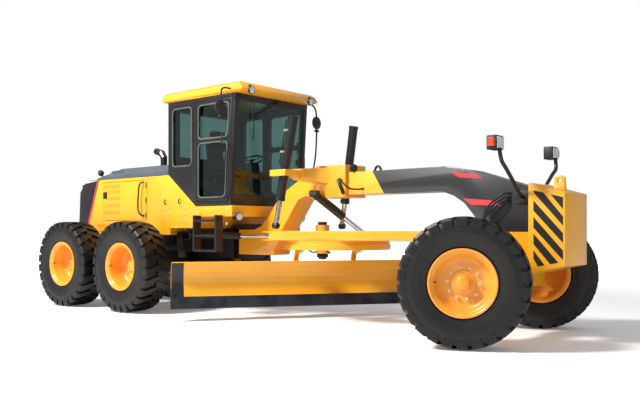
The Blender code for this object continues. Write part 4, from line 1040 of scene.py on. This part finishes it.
SWIVEL_CAP = ((0, 0), (0, 0.06), (0.035, 0.06), (0.04, 0.05), (0.04, 0))
piece("oil_swivel",
      [turned(SWIVEL_BODY, 32, (SWIVEL_X, SWIVEL_Y, 0.8995), (0, 0, -1)),
       turned(SWIVEL_CAP, 28, (SWIVEL_X, SWIVEL_Y, 1.2805), (0, 0, 1))], BLACK, "drawbar",
      angle=45)
piece("swivel_fittings",
      [rod((SWIVEL_X + way * 0.085, SWIVEL_Y, 0.925), (SWIVEL_X + way * 0.105, SWIVEL_Y, 0.925),
           0.017, 12) for way in (-1, 1)], ZINC, "drawbar", angle=45)

# %% [markdown]
# ## Blade
# The mouldboard is rolled plate. Replaceable hardened edges are bolted along its foot with
# plough bolts, whose heads sit nearly flush, and end bits guard both ends.

# %% Edge bolts
head = revolved(((-0.002, 0), (-0.002, 0.017), (0.003, 0.016), (0.006, 0.008), (0.006, 0)), 14)
bolt_row = placed(head, Matrix.Rotation(radians(-90), 4, "Z"))
bolts = repeated(bolt_row, 23, step=(0, 0.152, 0))
piece("edge_bolts", [placed(bolts, BLADE @ Matrix.Translation((-0.3945, -2.0, 0.275)))],
      WEAR_STEEL,
      "blade", angle=40)
lip = block((-0.434, -0.418), (-2.14, 1.50), (0.777, 0.7895))
piece("board_top_lip", [placed(lip, BLADE)], YELLOW, "blade", bevel=0.003)


def board_face(out, steps=10):
    """Points down the mouldboard's hollow face, moved forwards by an amount."""
    run = []
    for step in range(steps + 1):
        share = step / steps
        run.append((-0.425 - 0.015 * share - 0.40 * share * (1 - share) + out,
                    0.79 - 0.51 * share))
    return run


liner = board_face(0.0005) + list(reversed(board_face(0.006)))
piece("end_liner", [placed(prism(liner, -2.145, -1.985), BLADE)], BLACK, "blade")

# %% [markdown]
# ## Neck, nose and headlamps
# The neck is a welded box with a lifting eye on top. The nose weight is a box of thick
# plate with black diagonal bars on its sides. Two plain slanted red bars mark the neck, and
# all lettering is left out.

# %% Neck fittings and bars
for side, label in SIDES:
    face = span(side, 0.1702, 0.1712)
    bars = [((5.69, 1.885), (5.99, 1.855), (6.09, 1.795), (5.79, 1.820)),
            ((5.84, 1.575), (6.20, 1.545), (6.33, 1.480), (5.95, 1.500))]
    piece("neck_bars_" + label, [prism(bar, *face) for bar in bars], RED, "front")
eye_path = [(4.52 + 0.05 * cos(pi * k / 10), 0, 1.955 + 0.075 * sin(pi * k / 10))
            for k in range(11)]
piece("lifting_eye", [tube(eye_path, 0.016, 14)], BLACK, "front", angle=60)
gauge = revolved(((-0.03, 0), (-0.03, 0.045), (0.022, 0.048), (0.026, 0.040), (0.022, 0.0)), 28)
piece("slope_gauge", [placed(gauge, facing((4.26, -0.175, 2.01), (1, -0.6, 0))),
                      rod((4.25, -0.16, 1.955), (4.25, -0.16, 1.99), 0.012, 10)], NYLON, "front",
      angle=45)
lock_bar = rod((4.05, -0.232, 1.87), (4.14, -0.232, 1.68), 0.024, 20)
piece("saddle_lock_pin", [lock_bar], BLACK, "front", angle=45)

# %% Nose frame and stripes
BOX_SIDE = 0.3002
STRIPES = (((6.95, 1.585), (7.085, 1.550), (7.085, 1.425)),
           ((6.76, 1.632), (6.87, 1.605), (7.085, 1.350), (7.085, 1.255), (6.76, 1.610)),
           ((6.76, 1.527), (7.085, 1.175), (7.085, 1.075), (6.76, 1.415)),
           ((6.76, 1.350), (7.085, 0.995), (7.085, 0.895), (6.76, 1.235)),
           ((6.76, 1.172), (7.035, 0.868), (6.945, 0.850), (6.76, 1.060)),
           ((6.76, 0.996), (6.885, 0.838), (6.81, 0.822), (6.76, 0.905)))
for side, label in SIDES:
    face = sorted((side * BOX_SIDE, side * (BOX_SIDE + 0.001)))
    piece("nose_stripes_" + label, [prism(bar, *face) for bar in STRIPES], STRIPE_BLACK, "front")
    corners = [rod((x, side * 0.298, z), (x, side * 0.309, z), 0.010, 6, 0.002)
               for x, z in ((6.730, 0.79), (6.730, 1.67), (7.098, 0.855), (7.098, 1.57))]
    piece("nose_bolts_" + label, corners, ZINC, "front", angle=30)

# %% Headlamps
for side, label in SIDES:
    arm = [(6.59, side * 0.185, 1.57), (6.59, side * 0.26, 1.60), (6.59, side * 0.46, 1.755),
           (6.59, side * 0.60, 1.86), (6.59, side * 0.70, 1.935), (6.575, side * 0.72, 2.06)]
    plate = block((6.50, 6.68), span(side, 0.1703, 0.19), (1.50, 1.64))
    piece("lamp_arm_" + label, [bent(arm, 6, 0.0215, 16), plate], BLACK, "front",
          bevel=0.002, angle=50, stands_for=("headlamp_" + label,))
    body_box = block((6.465, 6.580), span(side, 0.625, 0.80), (2.045, 2.195))
    piece("lamp_body_" + label, [body_box], NYLON, "front", bevel=0.012, angle=50)
    glass = block((6.578, 6.590), span(side, 0.638, 0.787), (2.06, 2.18))
    piece("lamp_lens_" + label, [glass], LENS, "front", bevel=0.005, angle=50)
    amber = block((6.50, 6.575), span(side, 0.799, 0.848), (2.075, 2.165))
    piece("lamp_indicator_" + label, [amber], AMBER, "front", bevel=0.007, angle=50)

# %% [markdown]
# ## Hoses
# Rubber hoses carry oil across the machine. Each leaves a fitting, hangs in a loop that
# bends no tighter than its rating and goes back into the steel.

# %% Hoses
def hose(name, points, diameter, body, per=10):
    """A hose along eased points."""
    path = [p + Vector((TANDEM_X, 0, 0)) for p in eased(points, per)]
    made = piece(name, [tube(path, diameter / 2, 12)], HOSE, body, angle=60, shift=0)


for k in range(3):
    z = 1.62 - 0.045 * k
    hose("neck_hose_%d" % (k + 1),
         [(6.44, -0.175, z), (6.36, -0.235 - 0.01 * k, z - 0.02),
          (6.22, -0.255 - 0.01 * k, z - 0.13),
          (6.15, -0.25 - 0.01 * k, z - 0.26), (6.20, -0.22, z - 0.34), (6.29, -0.175, z - 0.36)],
         0.022, "front")
for side, label in SIDES:
    hose("saddle_hose_" + label,
         [(4.10, side * 0.222, 1.86), (4.13, side * 0.31, 1.87), (4.22, side * 0.33, 1.80),
          (4.30, side * 0.30, 1.74), (4.38, side * 0.22, 1.73), (4.42, side * 0.1715, 1.74)],
         0.022, "front")
SWIVEL_RUNS = (((3.630, -0.16, 0.925), (3.56, -0.17, 0.915), (3.505, -0.195, 0.96),
                (3.53, -0.22, 1.04), (3.62, -0.23, 1.079)),
               ((3.830, -0.16, 0.925), (3.88, -0.185, 0.91), (3.92, -0.27, 0.92),
                (3.935, -0.37, 0.99), (3.94, -0.43, 1.05), (3.94, -0.445, 1.079)))
for k, run in enumerate(SWIVEL_RUNS):
    hose("swivel_hose_%d" % (k + 1), run, 0.020, "drawbar")
